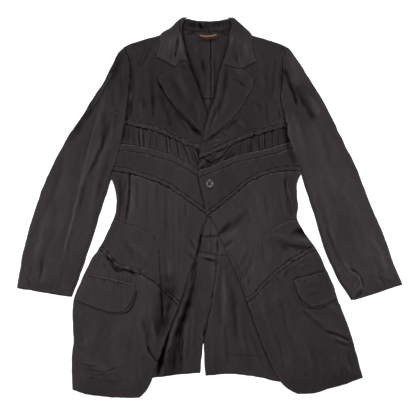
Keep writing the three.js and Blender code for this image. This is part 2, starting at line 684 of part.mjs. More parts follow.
const [leftFrontTop, leftSideTop] = partedAt(leftFootLow, 180);
const leftPrincessSeam = joined([leftSideTop[0]], leftPrincess.slice(1));
const leftHipTop = joined(leftHipSeam.slice(0, -1), [atHeight(leftSide, -27)]);
const leftHipInner = leftHipTop.filter((point) => point.x <= 186.5).reverse();
const leftHipOuter = leftHipTop.filter((point) => point.x >= 185.5);
const leftBodySide = joined(leftArmhole.slice(-3), leftSide);
const leftSeamHigh = across(leftSkirtSeam, tapeHalf, leftFrontEdge, leftSide);
const leftSeamLow = across(leftSkirtSeam, -tapeHalf, leftFrontEdge, leftSide);
const [leftFrontFoot, leftHipFoot] = partedAt(leftSeamHigh, 122);
const leftDart = joined(leftHipDart.slice(0, -1), [leftHipFoot[0]]);
sew("left_side_panel", leftUnder, {
  left: leftPrincessSeam, right: between(leftBodySide, endOf(leftSideTop), endOf(leftHipTop)),
  top: leftSideTop, bottom: leftHipOuter, columns: 2,
});
const leftTurn = atHeight(leftFrontEdge, turnY);
const leftUpper = patch({
  left: between(leftFrontEdge, leftFrontTop[0], leftTurn), right: leftPrincessSeam,
  top: leftFrontTop, columns: 10,
});
const leftLower = patch({
  left: between(leftFrontEdge, leftTurn, leftFrontFoot[0]), right: joined(leftHipInner, leftDart),
  bottom: leftFrontFoot, columns: 10,
});
clothMesh("left_front_panel", "fabric", [...leftUpper, ...leftLower.slice(1)], leftUnder, clothWall);
sew("left_hip_panel", leftUnder, {
  left: leftDart, right: between(leftSide, endOf(leftHipTop), endOf(leftHipFoot)),
  top: leftHipTop, bottom: leftHipFoot,
});
strip("left_skirt_tape", leftUnder, [leftSeamHigh, leftSeamLow, leftFrontEdge, leftSide], proud);
sew("left_front_skirt", leftUnder, {
  left: between(leftFrontEdge, leftSeamLow[0], leftHem[0]),
  right: between(leftSide, endOf(leftSeamLow), endOf(leftHem)),
  top: leftSeamLow, bottom: leftHem,
});
sew("left_pocket_flap", onLeft, {
  left: leftFlapLeft, right: [endOf(leftFlapTop), endOf(leftFlapBottom)],
  top: leftFlapTop, bottom: leftFlapBottom, columns: 6, rows: 4,
});
sew("left_lapel", onLeft, {
  left: leftLapelRoll, right: leftLapelOuter, top: [leftLapelRoll[0], { x: 53, y: 327 }, leftLapelOuter[0]],
  columns: 5,
});
sew("left_collar_fall", onLeft, {
  left: leftCollarInner, right: leftCollarOuter, bottom: leftCollarBottom, columns: 4,
});

// Sleeves, each a top over an under panel.
const rightSleeveBody = joined(rightArmhole, rightSleeveInner);
const leftSleeveBody = joined(leftArmhole, leftSleeveInner);
for (const { part, under, columns } of [
  { part: "top", under: frontUnder, columns: 6 },
  { part: "under", under: onFloor, columns: 1 },
]) {
  sew(`right_sleeve_${part}`, under, { left: rightSleeveOuter, right: rightSleeveBody, columns });
  sew(`left_sleeve_${part}`, under, { left: leftSleeveBody, right: leftSleeveOuter, columns });
}

// Back panels, flat on the surface.
const backTop = { x: 3, y: 411 };
const backYokeFoot = { x: 3, y: 257 };
const backBodyFoot = { x: 3, y: -66 };
const tabRight = [{ x: -20, y: -66 }, { x: -20, y: -103 }];
const tabLeft = [{ x: 20, y: -66 }, { x: 20, y: -111 }];
const centreTop = { x: 17, y: -110.4 };
const rightBackSide = joined(rightArmhole, rightSide);
const leftBackSide = joined(leftArmhole, leftSide);
function stretch(edge, fromY, toY) {
  return between(edge, atHeight(edge, fromY), atHeight(edge, toY));
}
sew("right_back_yoke", onFloor, {
  left: stretch(rightBackSide, 378, 257), right: [backTop, backYokeFoot],
  top: joined(rightShoulder, [{ x: -58, y: 416 }, { x: -29, y: 412 }, backTop]),
});
sew("left_back_yoke", onFloor, {
  left: [backTop, backYokeFoot], right: stretch(leftBackSide, 375, 257),
  top: joined([backTop, { x: 25, y: 412 }, { x: 48, y: 416 }], leftShoulder),
});
sew("right_back_body", onFloor, {
  left: stretch(rightBackSide, 257, -66), right: [backYokeFoot, backBodyFoot], columns: 2,
});
sew("left_back_body", onFloor, {
  left: [backYokeFoot, backBodyFoot], right: stretch(leftBackSide, 257, -66), columns: 2,
});
sew("right_back_band", onFloor, { left: stretch(rightSide, -66, -103), right: tabRight });
sew("back_band_tab", onFloor, { left: tabRight, right: tabLeft });
sew("left_back_band", onFloor, { left: tabLeft, right: stretch(leftSide, -66, -111) });
sew("right_back_skirt", onFloor, {
  left: stretch(rightSide, -103, -412), right: joined([centreTop], centreBack.slice(1), ventRight),
  top: [atHeight(rightSide, -103), tabRight[1], centreTop],
  bottom: joined([atHeight(rightSide, -412)], rightBackHem.slice(1)),
});
sew("left_back_skirt", onFloor, {
  left: joined([centreTop], centreBack.slice(1), ventLeft), right: stretch(leftSide, -111, -389),
  top: [centreTop, tabLeft[1], atHeight(leftSide, -111)],
  bottom: joined(leftBackHem.slice(0, -1), [atHeight(leftSide, -389)]),
});
sew("collar_stand", onFloor, {
  left: [standTop[0], standBottom[0]], right: [endOf(standTop), endOf(standBottom)],
  top: standTop, bottom: standBottom,
});
const loopUnder = () => clothWall + seamGap;
sew("hanger_loop", loopUnder, {
  left: [shifted(loopLine, loopWide / 2)[0], shifted(loopLine, -loopWide / 2)[0]],
  right: [endOf(shifted(loopLine, loopWide / 2)), endOf(shifted(loopLine, -loopWide / 2))],
  top: shifted(loopLine, loopWide / 2), bottom: shifted(loopLine, -loopWide / 2),
}, loopThick);
const labelGrid = patch({
  left: [{ x: -labelWide / 2 - 3, y: 406 }, { x: -labelWide / 2 - 3, y: 406 - labelDeep }],
  right: [{ x: labelWide / 2 - 3, y: 406 }, { x: labelWide / 2 - 3, y: 406 - labelDeep }], columns: 3,
});
clothMesh("neck_label", "label", labelGrid, () => clothWall + 2 * seamGap + loopThick, 1);

// Button, with a raised rim.
const buttonShape = [
  { r: 0, z: 0 }, { r: 8.6, z: 0 }, { r: buttonRadius, z: 0.8 }, { r: buttonRadius, z: 2.2 },
  { r: 8.6, z: 3.0 }, { r: 7.2, z: buttonHigh }, { r: 5.6, z: 2.3 }, { r: 0, z: 2.0 },
];
const buttonBody = new THREE.LatheGeometry(buttonShape.map((row) => new THREE.Vector2(row.r, row.z)), 24);
buttonBody.rotateX(Math.PI / 2);
buttonBody.translate(buttonX, buttonY, leftUnder(buttonX, buttonY) + clothWall + seamGap + 0.1);
finish("front_button", "button", buttonBody);

// The jacket is centred on the middle of its outline.
const box = new THREE.Box3().setFromObject(jacket);
for (const mesh of jacket.children) {
  mesh.geometry.translate(-(box.min.x + box.max.x) / 2, -(box.min.y + box.max.y) / 2, -box.min.z);
}

export default jacket;
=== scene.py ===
import bpy, bmesh
import numpy as np
from mathutils import Matrix, Vector


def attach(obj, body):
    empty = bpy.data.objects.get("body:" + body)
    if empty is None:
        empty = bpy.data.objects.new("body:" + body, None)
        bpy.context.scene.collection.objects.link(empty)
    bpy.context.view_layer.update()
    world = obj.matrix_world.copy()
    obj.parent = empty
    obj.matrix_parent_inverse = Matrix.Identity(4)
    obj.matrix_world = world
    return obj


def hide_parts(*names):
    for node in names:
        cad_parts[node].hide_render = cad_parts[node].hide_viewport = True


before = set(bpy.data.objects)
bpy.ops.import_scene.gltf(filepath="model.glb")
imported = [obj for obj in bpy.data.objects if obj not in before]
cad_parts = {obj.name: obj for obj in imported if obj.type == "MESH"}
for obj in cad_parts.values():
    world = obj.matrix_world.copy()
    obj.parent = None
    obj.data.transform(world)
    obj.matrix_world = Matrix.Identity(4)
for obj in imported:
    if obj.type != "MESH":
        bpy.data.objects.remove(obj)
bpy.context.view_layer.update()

# Sizes in mm, the same as the solids. Metres only where a mesh is made.
cloth = {"wall": 1.4, "shell": 1.1, "seamGap": 0.3, "layerGap": 0.6, "tapeProud": 1.0, "creaseScale": 1.6,
         "gatherScale": 0.72, "shadeScale": 0.68, "upperTape": 0.6}
front = {"rise": 3.0, "reach": 30, "overlapFull": 8, "overlapEnd": 40}
mesh = {"step": 2.7, "hidden": 14.0, "edge": (0.0, 0.7, 1.6, 2.9)}
tapeHalf = 5.5  # half the width of a tape
bandTape = 16  # width of the tape above the flat band
turnY = -50  # where the front edge starts to slope away
print("stage: sizes")

# Seams and edges, each from top to bottom or from left to right.
rightSide = {"x": [-231, -222, -218, -226, -235, -253, -278, -296, -313, -320, -321, -319, -323, -322],
             "y": [70, 46, 8, -29, -48, -86, -123, -161, -198, -222, -274, -311, -349, -427]}
leftSide = {"x": [217, 207, 208, 208, 217, 230, 256, 273, 291, 303, 318, 331, 342, 352, 361],
            "y": [82, 60, 8, -29, -48, -67, -104, -142, -180, -217, -255, -292, -330, -368, -400]}
rightShoulder = {"x": [-200, -171, -147, -114, -67], "y": [378, 389, 396, 406, 421]}
leftShoulder = {"x": [51, 98, 130, 153, 172, 186], "y": [421, 405, 396, 389, 382, 375]}
rightArmhole = {"x": [-200, -188, -186, -189, -193, -199, -206, -217, -231],
                "y": [378, 342, 314, 279, 243, 198, 159, 119, 74]}
leftArmhole = {"x": [186, 174, 173, 167, 177, 183, 192, 208, 218],
               "y": [375, 354, 300, 262, 214, 175, 146, 107, 86]}
rightSleeveOuter = {
    "x": [-213, -232, -251, -276, -299, -325, -347, -367, -384, -399, -411, -423, -433, -441, -448, -452],
    "y": [366, 328, 290, 253, 215, 178, 140, 102, 65, 27, -10, -48, -86, -123, -161, -189]}
rightSleeveInner = {"x": [-234, -243, -255, -267, -278, -291, -303, -317, -329],
                    "y": [71, 46, 8, -29, -67, -104, -142, -180, -210]}
leftSleeveOuter = {"x": [193, 220, 243, 266, 286, 304, 322, 342, 357, 371, 386, 403, 418, 430, 446, 454],
                   "y": [367, 328, 290, 253, 215, 178, 140, 102, 65, 27, -10, -48, -86, -123, -161, -181]}
leftSleeveInner = {"x": [220, 231, 244, 256, 266, 278, 295, 314, 340],
                   "y": [82, 46, 8, -29, -67, -104, -142, -180, -218]}
rightRoll = {"x": [-67, -59, -48, -36, -23, -12, -2, 3, 4],
             "y": [421, 382, 342, 307, 269, 239, 211, 178, 135]}
leftRoll = {"x": [51, 45, 34, 23, 16, 10, -3, -11, -18, -23],
            "y": [421, 389, 350, 317, 277, 251, 213, 185, 161, 128]}
rightYokeSeam = {"x": [-199, -165, -120, -75, -45, -20, 4], "y": [202, 193, 182, 161, 149, 141, 132]}
leftYokeSeam = {"x": [-23, -9, 35, 76, 122, 180], "y": [120, 125, 144, 163, 178, 194]}
rightBandTop = {"x": [-211, -157, -120, -90, -60, -30, 4], "y": [135, 127, 118, 109, 94, 76, 60]}
leftBandTop = {"x": [-26, -8, 30, 70, 128, 175, 195], "y": [71, 77, 92, 108, 120, 134, 140]}
rightBandFoot = {"x": [-227, -180, -142, -105, -60, -27, -2], "y": [92, 83, 71, 57, 28, 4, -13]}
leftBandFoot = {"x": [-9, 2, 47, 93, 134, 169, 215], "y": [-16, -9, 26, 64, 82, 90, 92]}
rightPrincess = {"x": [-185, -188, -195, -197], "y": [84, 30, -29, -36]}
leftPrincess = {"x": [180, 191, 187, 186], "y": [90, 18, -27, -31]}
rightHipSeam = {"x": [-225, -197, -158, -129], "y": [-26, -36, -50, -67]}
leftHipSeam = {"x": [131, 169, 186, 208], "y": [-62, -38, -31, -27]}
rightHipDart = {"x": [-129, -120, -117, -114], "y": [-67, -91, -135, -188]}
leftHipDart = {"x": [131, 124, 122, 122], "y": [-62, -90, -128, -183]}
rightSkirtSeam = {"x": [-256, -234, -217, -164, -129, -100, -70],
                  "y": [-93, -114, -135, -150, -170, -199, -227]}
leftSkirtSeam = {"x": [94, 140, 175, 210, 249], "y": [-217, -168, -138, -114, -94]}
rightFrontEdge = {"x": [-2, -23, -30, -53, -70, -94, -117, -126, -137, -152, -165],
                  "y": [-15, -62, -103, -172, -227, -290, -353, -379, -410, -436, -447]}
leftFrontEdge = {"x": [0, 23, 47, 72, 90, 122, 140, 157, 181, 208],
                 "y": [-13, -64, -120, -180, -227, -319, -360, -395, -424, -438]}
rightHem = {"x": [-322, -292, -258, -210, -165], "y": [-427, -438, -443, -447, -447]}
leftHem = {"x": [208, 246, 280, 319, 361], "y": [-438, -436, -426, -415, -400]}
rightBackHem = {"x": [-321, -222, -123, -69, -22], "y": [-412, -405, -399, -392, -389]}
leftBackHem = {"x": [-9, 47, 93, 128, 169, 260, 357], "y": [-395, -391, -395, -401, -410, -407, -389]}
centreBack = {"x": [17, 12, -2, -14], "y": [-112, -179, -259, -319]}
ventRight = {"x": [-15, -17, -20, -22], "y": [-321, -349, -370, -389]}
ventLeft = {"x": [-13, -12, -11, -9], "y": [-321, -349, -372, -395]}
facingOuter = {"x": [-32, -46, -64, -85, -97, -107], "y": [-128, -175, -231, -297, -338, -395]}
facingInner = {"x": [-27, -37, -61, -70, -66], "y": [-128, -189, -262, -319, -391]}
rightFlapTop = {"x": [-289, -231, -173], "y": [-155, -167, -181]}
rightFlapBottom = {"x": [-315, -275, -228, -199], "y": [-217, -234, -247, -243]}
rightFlapRight = {"x": [-173, -181, -199], "y": [-181, -219, -243]}
leftFlapTop = {"x": [199, 237, 276], "y": [-170, -160, -148]}
leftFlapBottom = {"x": [239, 269, 301], "y": [-234, -228, -212]}
leftFlapLeft = {"x": [199, 213, 239], "y": [-170, -211, -234]}
rightCollarOuter = {"x": [-63, -74, -90, -114, -115, -124], "y": [446, 439, 424, 407, 387, 353]}
rightCollarInner = {"x": [-51, -63, -63, -57, -51], "y": [446, 431, 403, 374, 345]}
rightCollarBottom = {"x": [-124, -99, -80, -66, -51], "y": [353, 341, 330, 343, 345]}
leftCollarInner = {"x": [43, 52, 46, 44, 31], "y": [446, 431, 403, 380, 337]}
leftCollarOuter = {"x": [58, 82, 100, 102, 110], "y": [446, 424, 405, 372, 343]}
leftCollarBottom = {"x": [31, 53, 77, 110], "y": [337, 329, 326, 343]}
rightLapelOuter = {"x": [-80, -122, -105, -81, -56, -23], "y": [328, 305, 270, 239, 213, 180]}
rightLapelRoll = {"x": [-51, -36, -23, -12, -6, -13, -19], "y": [343, 307, 270, 239, 220, 194, 179]}
leftLapelOuter = {"x": [77, 106, 98, 83, 71, 47, 16, -12], "y": [325, 302, 277, 250, 229, 201, 176, 155]}
leftLapelRoll = {"x": [30, 24, 17, 11, -2, -10, -16], "y": [335, 317, 277, 251, 213, 185, 159]}
standTop = {"x": [-66, -51, -27, -1, 23, 43, 58], "y": [438, 444, 439, 438, 439, 444, 438]}
standBottom = {"x": [-67, -58, -29, -1, 25, 48, 51], "y": [421, 416, 412, 411, 412, 416, 421]}
loopLine = {"x": [-33, -24, -3, 16, 29], "y": [410, 403, 397, 400, 410]}

# Creases: start x and y, end x and y, bend to the side, height (below 0 is a trough) and half width.
rightFrontCreases = [
    (-135, 389, -168, 323, 5, -0.7, 5), (-131, 255, -129, 227, 0, -0.9, 2.6),
    (-109, 243, -106, 215, 0, -0.5, 3), (-163, 290, -172, 225, 2, -0.5, 6),
    (-90, 272, -99, 211, 5, -0.6, 5), (-146, 347, -139, 272, -5, 0.6, 9),
    (-179, 265, -184, 208, 0, -1.2, 4), (-78, 211, -45, 168, 2, -0.6, 3.5), (-121, 74, -123, 6, 0, -0.5, 3),
    (-170, 74, -172, -15, 2, -0.8, 4), (-146, 65, -146, -34, 0, -0.5, 4), (-102, 41, -104, -76, 2, -0.6, 5),
    (-78, 27, -78, -90, 0, 0.6, 5), (-55, 18, -56, -24, 0, -1.0, 2.2), (-45, -76, -29, -104, 0, -1.3, 2.6),
    (-55, -67, -38, -102, 2, -0.7, 4), (-116, -76, -102, -170, 5, -0.8, 6),
    (-88, -43, -88, -198, -2, 0.7, 6), (-67, -57, -74, -198, 0, -0.7, 4),
    (-102, -128, -92, -198, 0, -0.7, 3), (-184, 51, -189, -20, 0, -1.0, 3),
    (-208, 37, -212, -34, 0, -0.8, 4), (-196, 70, -200, 27, 0, -0.9, 3),
    (-191, -86, -144, -128, 9, 0.9, 11), (-210, -76, -177, -128, 7, -0.8, 8),
    (-247, -114, -219, -128, 2, -1.0, 3.4), (-115, -198, -109, -288, 2, -1.1, 5),
    (-158, -255, -145, -295, -2, -0.6, 5), (-145, -290, -147, -325, 0, -0.6, 4),
    (-146, -323, -123, -365, -2, -1.0, 3.6), (-135, -269, -125, -330, -2, 0.9, 4),
    (-139, -217, -125, -311, -5, 0.8, 6), (-102, -236, -116, -311, 2, 0.8, 5),
    (-90, -217, -104, -259, 2, -0.9, 3.4), (-299, -370, -247, -381, -2, -0.2, 2.8),
    (-285, -398, -215, -375, -2, -0.2, 2.8), (-290, -384, -247, -391, 2, 0.2, 3),
    (-266, -412, -233, -403, 0, -0.2, 3), (-304, -288, -280, -358, -5, -0.8, 9),
    (-229, -269, -215, -415, 5, 0.9, 13), (-182, -288, -191, -424, -2, -0.9, 10),
    (-266, -255, -276, -335, 2, 0.7, 9), (-247, -433, -186, -405, 5, -0.2, 6),
    (-163, -358, -156, -419, -2, 0.7, 6), (-313, -323, -294, -339, 0, -0.3, 4),
]
leftFrontCreases = [
    (114, 366, 124, 262, 5, 0.7, 10), (157, 352, 147, 243, -2, -0.9, 6), (133, 253, 138, 187, 0, -0.8, 3.2),
    (110, 258, 124, 211, 2, -0.5, 4), (72, 253, 105, 260, 2, -0.5, 2.6), (67, 236, 100, 241, 2, -0.6, 2.6),
    (124, 323, 138, 290, 0, -0.5, 6), (67, 211, 86, 187, -2, 0.9, 5), (27, 180, 49, 164, -2, -0.8, 3),
    (6, 159, 30, 166, 0, -0.9, 2.4), (-1, 142, 25, 154, 2, -1.0, 2.4), (161, 234, 168, 201, 0, -1.2, 4),
    (93, 55, 124, -17, 7, 0.5, 10), (124, 41, 138, -34, 2, -0.6, 6), (72, 18, 100, -57, 5, -0.5, 7),
    (161, 51, 171, -15, 0, -0.6, 4), (183, 60, 192, 18, -2, 1.0, 3), (176, 65, 180, 27, 0, -0.9, 3),
    (178, 20, 185, -13, 0, -0.9, 3), (26, -62, 80, -14, -5, -0.4, 12), (36, -60, 86, -28, -5, 0.3, 9),
    (27, -95, 56, -76, -2, -1.2, 4.5), (143, -67, 194, -78, 5, 0.8, 6), (176, -93, 204, -100, 2, 0.8, 4),
    (124, -76, 129, -128, 0, -0.6, 3), (138, -86, 143, -137, 0, 1.0, 8), (105, -104, 72, -175, 5, -0.8, 5),
    (86, -76, 63, -137, 5, 0.8, 7), (100, -128, 89, -194, 2, -0.7, 3.4), (53, -104, 86, -189, -5, 0.7, 5),
    (79, -142, 72, -184, 0, -0.6, 3), (124, -194, 147, -288, -7, 0.9, 10),
    (159, -208, 180, -288, 5, -1.1, 8), (168, -288, 194, -386, 5, 0.8, 10),
    (199, -236, 274, -292, 5, -0.3, 7), (272, -290, 329, -310, 2, -0.9, 2.4),
    (293, -302, 333, -324, 0, 0.9, 3), (300, -318, 334, -329, 0, -0.7, 2.2),
    (206, -219, 234, -255, 2, -0.4, 4.4), (213, -231, 255, -264, 2, 0.4, 5),
    (232, -323, 251, -415, 5, -0.7, 10), (284, -339, 302, -405, 2, 0.7, 10),
    (321, -335, 335, -386, 0, -0.6, 6), (138, -264, 176, -377, 5, -0.8, 6),
    (255, -217, 312, -259, 5, 0.7, 8),
]
sleeveCreases = [
    (-218, 328, -283, 215, -7, -2.6, 6), (-229, 323, -294, 201, -7, 1.2, 5),
    (-224, 286, -228, 229, 0, -1.0, 6), (-232, 222, -215, 226, 0, -1.1, 2.6),
    (-231, 211, -255, 135, 2, -1.8, 8), (-215, 206, -238, 117, 2, 1.0, 8),
    (-266, 154, -306, 44, 5, 1.0, 2.6), (-306, 44, -333, -76, 2, 0.9, 2.6),
    (-333, -76, -346, -194, 0, 0.8, 2.4), (-247, 168, -290, 70, 5, -2.0, 6.5),
    (-290, 70, -309, -15, 2, -1.1, 5), (-346, 112, -388, -20, 5, -0.9, 10),
    (-370, 18, -407, -128, 2, 0.9, 11), (-327, -67, -351, -189, 0, -0.8, 5),
    (-386, -100, -403, -189, 0, -0.7, 7), (-262, 88, -285, -39, 0, 0.8, 7),
    (-428, -161, -419, -196, 0, -0.8, 3), (-374, -180, -370, -203, 0, -0.6, 3),
    (-210, 347, -203, 290, 2, 0.9, 7), (-243, 253, -262, 201, 0, 0.8, 6), (178, 323, 192, 281, 2, -0.8, 5),
    (191, 286, 204, 243, 2, -0.8, 5), (197, 309, 213, 258, 2, 0.6, 6), (220, 248, 239, 204, 5, -0.8, 7),
    (206, 272, 223, 234, 2, -1.4, 5), (232, 262, 255, 211, 5, 1.5, 7), (178, 220, 185, 168, -2, -2.6, 4.6),
    (185, 168, 194, 135, -2, -1.6, 4), (194, 225, 213, 159, 2, 1.2, 8), (255, 187, 284, 88, 5, -0.8, 10),
    (213, 182, 241, 74, -5, 0.7, 9), (284, 74, 321, -34, 2, 0.9, 11), (255, 41, 288, -67, -2, -0.8, 9),
    (273, -46, 295, -100, 2, -0.6, 2.4), (295, -100, 314, -132, 2, -0.7, 2.4),
    (279, -41, 302, -97, 2, 0.7, 3), (335, -15, 368, -114, 2, -0.8, 10),
    (326, -140, 352, -160, 2, -1.0, 2.2), (331, -151, 356, -170, 2, 0.8, 2.8),
    (352, -160, 362, -189, 2, -1.0, 2.2), (362, -189, 340, -215, 0, -1.6, 2.4),
    (338, -168, 349, -189, 0, -1.4, 2.2), (312, -128, 335, -154, 2, 1.0, 3),
    (392, -128, 411, -189, 0, -0.7, 7), (378, -67, 415, -151, 2, 0.7, 9),
    (366, -198, 375, -208, 0, -0.9, 2.4),
]
lapelCreases = [
    (-74, 401, -82, 354, 2, -2.4, 3), (-90, 399, -95, 352, 0, 0.9, 4), (-69, 403, -67, 356, 0, 1.0, 2.6),
    (-109, 384, -116, 352, 0, -0.5, 4), (-59, 380, -55, 352, 0, -1.0, 2), (-74, 321, -45, 260, -5, 0.8, 7),
    (-97, 302, -59, 243, 5, -0.5, 7), (-34, 258, -22, 196, 2, 0.6, 5), (72, 384, 79, 342, -2, -0.8, 4),
    (56, 403, 51, 352, 0, 0.8, 4), (86, 389, 93, 347, -2, 0.6, 5), (65, 370, 63, 333, 0, -0.7, 3),
    (42, 328, 32, 262, 2, -0.6, 4), (23, 262, 13, 196, 0, 0.8, 3.6), (46, 272, 30, 211, 0, 0.6, 6),
    (56, 323, 82, 305, 2, 0.5, 5), (6, 211, -3, 168, 0, -0.8, 2.6), (30, 253, 16, 187, -2, -0.6, 3),
]
neckCreases = [
    (-15, 356, -12, 300, 0, -0.9, 2.2), (13, 352, 11, 272, 0, -0.9, 2.2), (-24, 366, -15, 309, 0, -0.5, 3),
    (-31, 384, -27, 356, 0, 0.5, 4), (-8, 342, -5, 267, 0, -0.5, 2), (20, 370, 18, 323, 0, 0.5, 3),
    (-27, 431, -10, 417, 0, -1.3, 2.2), (-36, 434, -31, 417, 0, -0.7, 2), (-5, 431, -1, 417, 0, -0.9, 2),
    (11, 431, 13, 415, 0, -0.5, 2), (30, 431, 27, 417, 0, 0.5, 3), (-20, 434, -3, 427, 0, 0.9, 2.2),
]
backCreases = [
    (-20, -68, -20, -102, 0, -1.2, 1.8), (20, -68, 18, -109, 0, -1.2, 1.8), (-3, -76, 2, -100, 0, 0.7, 3),
    (11, -118, 6, -180, 0, 0.6, 4), (23, -128, 11, -217, 0, 0.8, 5), (35, -147, 30, -311, 2, 0.9, 6),
    (51, -170, 63, -335, 2, -0.7, 6), (67, -217, 82, -358, 2, 0.7, 7), (-3, -217, -8, -302, 0, -0.8, 3),
    (6, -288, 6, -377, 0, 0.5, 5), (-11, -269, -13, -306, 0, -1.8, 2.2), (96, -288, 124, -372, 0, -0.7, 7),
    (-41, -189, -65, -269, 0, -0.8, 6), (-65, -269, -73, -323, 0, -0.8, 6),
    (-73, -323, -66, -379, 0, -0.9, 4), (-50, -245, -59, -358, 0, 1.2, 5),
    (-34, -208, -45, -372, 0, 0.7, 5), (39, -288, 44, -377, 0, -0.5, 5), (-88, -339, -97, -384, 0, -1.0, 3),
]

# Creases with painted shade in the troughs and painted highlight on the ridges: start x and y, end x and y,
# bend, height, half width and shade.
rightFrontDeep = [
    (-229, -116, -224, -134, 0, -0.9, 2.8, 1.2), (-247, -128, -245, -144, 0, -0.5, 3.8, 0.7),
    (-215, -156, -212, -177, 0, -0.5, 1.9, 0.7), (-204, -158, -205, -180, 0, -0.5, 1.6, 0.6),
    (-193, -161, -196, -180, 0, -0.4, 1.6, 0.6), (-184, -163, -184, -184, 0, -0.4, 1.6, 0.5),
    (-233, -142, -236, -168, 0, -0.4, 1.9, 0.5), (-257, -114, -262, -142, 0, -0.4, 2.4, 0.4),
    (-306, -366, -254, -374, -1, -0.4, 1.4, 1.5), (-296, -377, -247, -385, -1, -0.4, 1.4, 1.5),
    (-246, -386, -212, -371, -1, -0.3, 1.5, 1.4), (-292, -402, -262, -400, 1, -0.3, 1.5, 1.3),
    (-270, -398, -243, -389, 0, -0.2, 1.4, 0.6), (-254, -410, -206, -408, 1, -0.2, 1.6, 0.4),
    (-170, -259, -158, -311, 0, 0.3, 4.2, -0.2), (-51, -182, -67, -227, 2, -0.9, 3.5, 1.2),
    (-65, -224, -88, -276, 2, -0.6, 4.7, 0.9), (-52, -104, -31, -128, 0, -0.6, 2.8, 0.7),
    (-95, -248, -109, -288, 0, -0.4, 6.1, 0.6), (-109, -217, -114, -269, 0, -0.3, 3.5, 0.4),
    (-24, 135, -15, 98, 0, -1.2, 3.8, 1.5), (-15, 98, -24, 74, 0, -1.0, 3.8, 1.4),
    (-36, 142, -20, 121, 1, -1.2, 3.5, 1.4), (-212, 74, -205, -15, 2, -0.5, 5.6, 0.9),
    (-184, 366, -177, 211, 3, -0.3, 3.3, 0.4), (-85, 229, -57, 201, 0, -0.5, 4.7, 0.6),
    (-45, 189, -17, 168, 0, -0.9, 5.2, 1.6), (-137, 309, -128, 229, 0, -0.3, 7.5, 0.5),
    (-156, 272, -153, 225, 0, -0.4, 3.5, 0.5), (-215, 196, -193, 201, 0, 0.4, 2.4, -0.2),
    (-219, 175, -215, 145, 0, -0.5, 4.7, 1.0), (-193, 356, -193, 211, 4, -0.3, 2.4, 0.7),
    (-118, 275, -102, 232, 0, -0.3, 8.0, 0.7), (-172, 248, -140, 246, 0, 0.0, 9.0, 0.35),
    (-124, 300, -108, 268, 0, -0.3, 3.4, 1.3), (-60, 208, -30, 178, 0, -0.3, 3.6, 0.8),
]
leftFrontDeep = [
    (190, -62, 232, -52, 2, -0.4, 8.0, 1.7), (205, -48, 234, -72, 0, -0.2, 6.0, 1.5),
    (184, -88, 244, -97, -1, -0.5, 7.0, 1.6), (150, -84, 205, -92, 2, -0.6, 12.0, 0.5),
    (168, -93, 194, -93, 0, -0.5, 7.1, 0.7), (201, -74, 241, -83, 2, 0.9, 4.7, -0.6),
    (16, -66, 50, -34, -2, -0.9, 5.5, 1.3), (24, -60, 92, -6, -5, -0.9, 10.5, 0.75),
    (36, -72, 74, -42, -4, 0.7, 7.0, -0.35), (274, -299, 319, -318, 0, 0.6, 3.8, -0.4),
    (152, -128, 183, -104, 0, 0.3, 2.4, -0.2), (180, -130, 194, -114, 0, -0.4, 2.8, 0.6),
    (190, -142, 176, -161, 0, -0.4, 2.8, 0.5), (86, 260, 138, 225, 0, -0.25, 2.4, 0.3),
    (39, 182, 72, 211, 2, -0.6, 4.2, 1.0), (-5, 152, 35, 187, 1, -0.5, 2.8, 1.1),
    (20, 192, 51, 180, 0, -0.3, 2.4, 0.5), (53, 166, 124, 189, 2, -0.3, 1.9, 0.6),
    (30, 149, 58, 164, 0, -0.5, 2.6, 0.9), (-3, 135, 35, 151, 0, -0.5, 2.6, 1.1),
    (176, 74, 178, 41, 0, -0.5, 2.4, 0.8), (133, 323, 138, 225, 1, -0.2, 8.2, 0.3),
    (35, -86, 82, -165, 0, -0.3, 2.4, 0.5), (86, -142, 100, -208, 0, -0.3, 2.8, 0.4),
    (56, -128, 91, -217, 1, -0.4, 4.2, 0.5), (181, -138, 206, -122, 1, -0.4, 2.3, 1.0),
    (196, -123, 224, -110, 1, 0.4, 2.4, -0.35), (209, -118, 236, -105, -1, -0.4, 2.2, 0.9),
    (158, -164, 165, -178, 0, -0.3, 2.0, 0.6), (177, -150, 183, -165, 0, -0.3, 2.2, 0.6),
    (199, -137, 203, -152, 0, -0.3, 2.0, 0.5), (221, -124, 227, -139, 0, -0.3, 2.2, 0.6),
    (206, -140, 232, -128, 1, 0.3, 2.6, -0.25),
]
gatherDeep = [
    (-17, 135, 2, 121, 1, -1.3, 3.8, 1.6), (-15, 117, 6, 105, -2, -1.2, 3.3, 1.5),
    (-8, 93, 30, 119, 2, -1.3, 3.8, 1.6), (2, 84, 39, 98, 1, -0.9, 2.8, 1.2),
    (16, 135, 53, 142, 1, 0.8, 3.8, -0.4), (-17, 100, -8, 77, 0, -1.0, 3.5, 1.4),
    (30, 98, 49, 131, 1, -0.8, 2.8, 1.1), (44, 102, 63, 135, 1, -0.6, 2.6, 0.8),
    (35, 145, 63, 159, 0, 0.7, 3.3, -0.3),
]
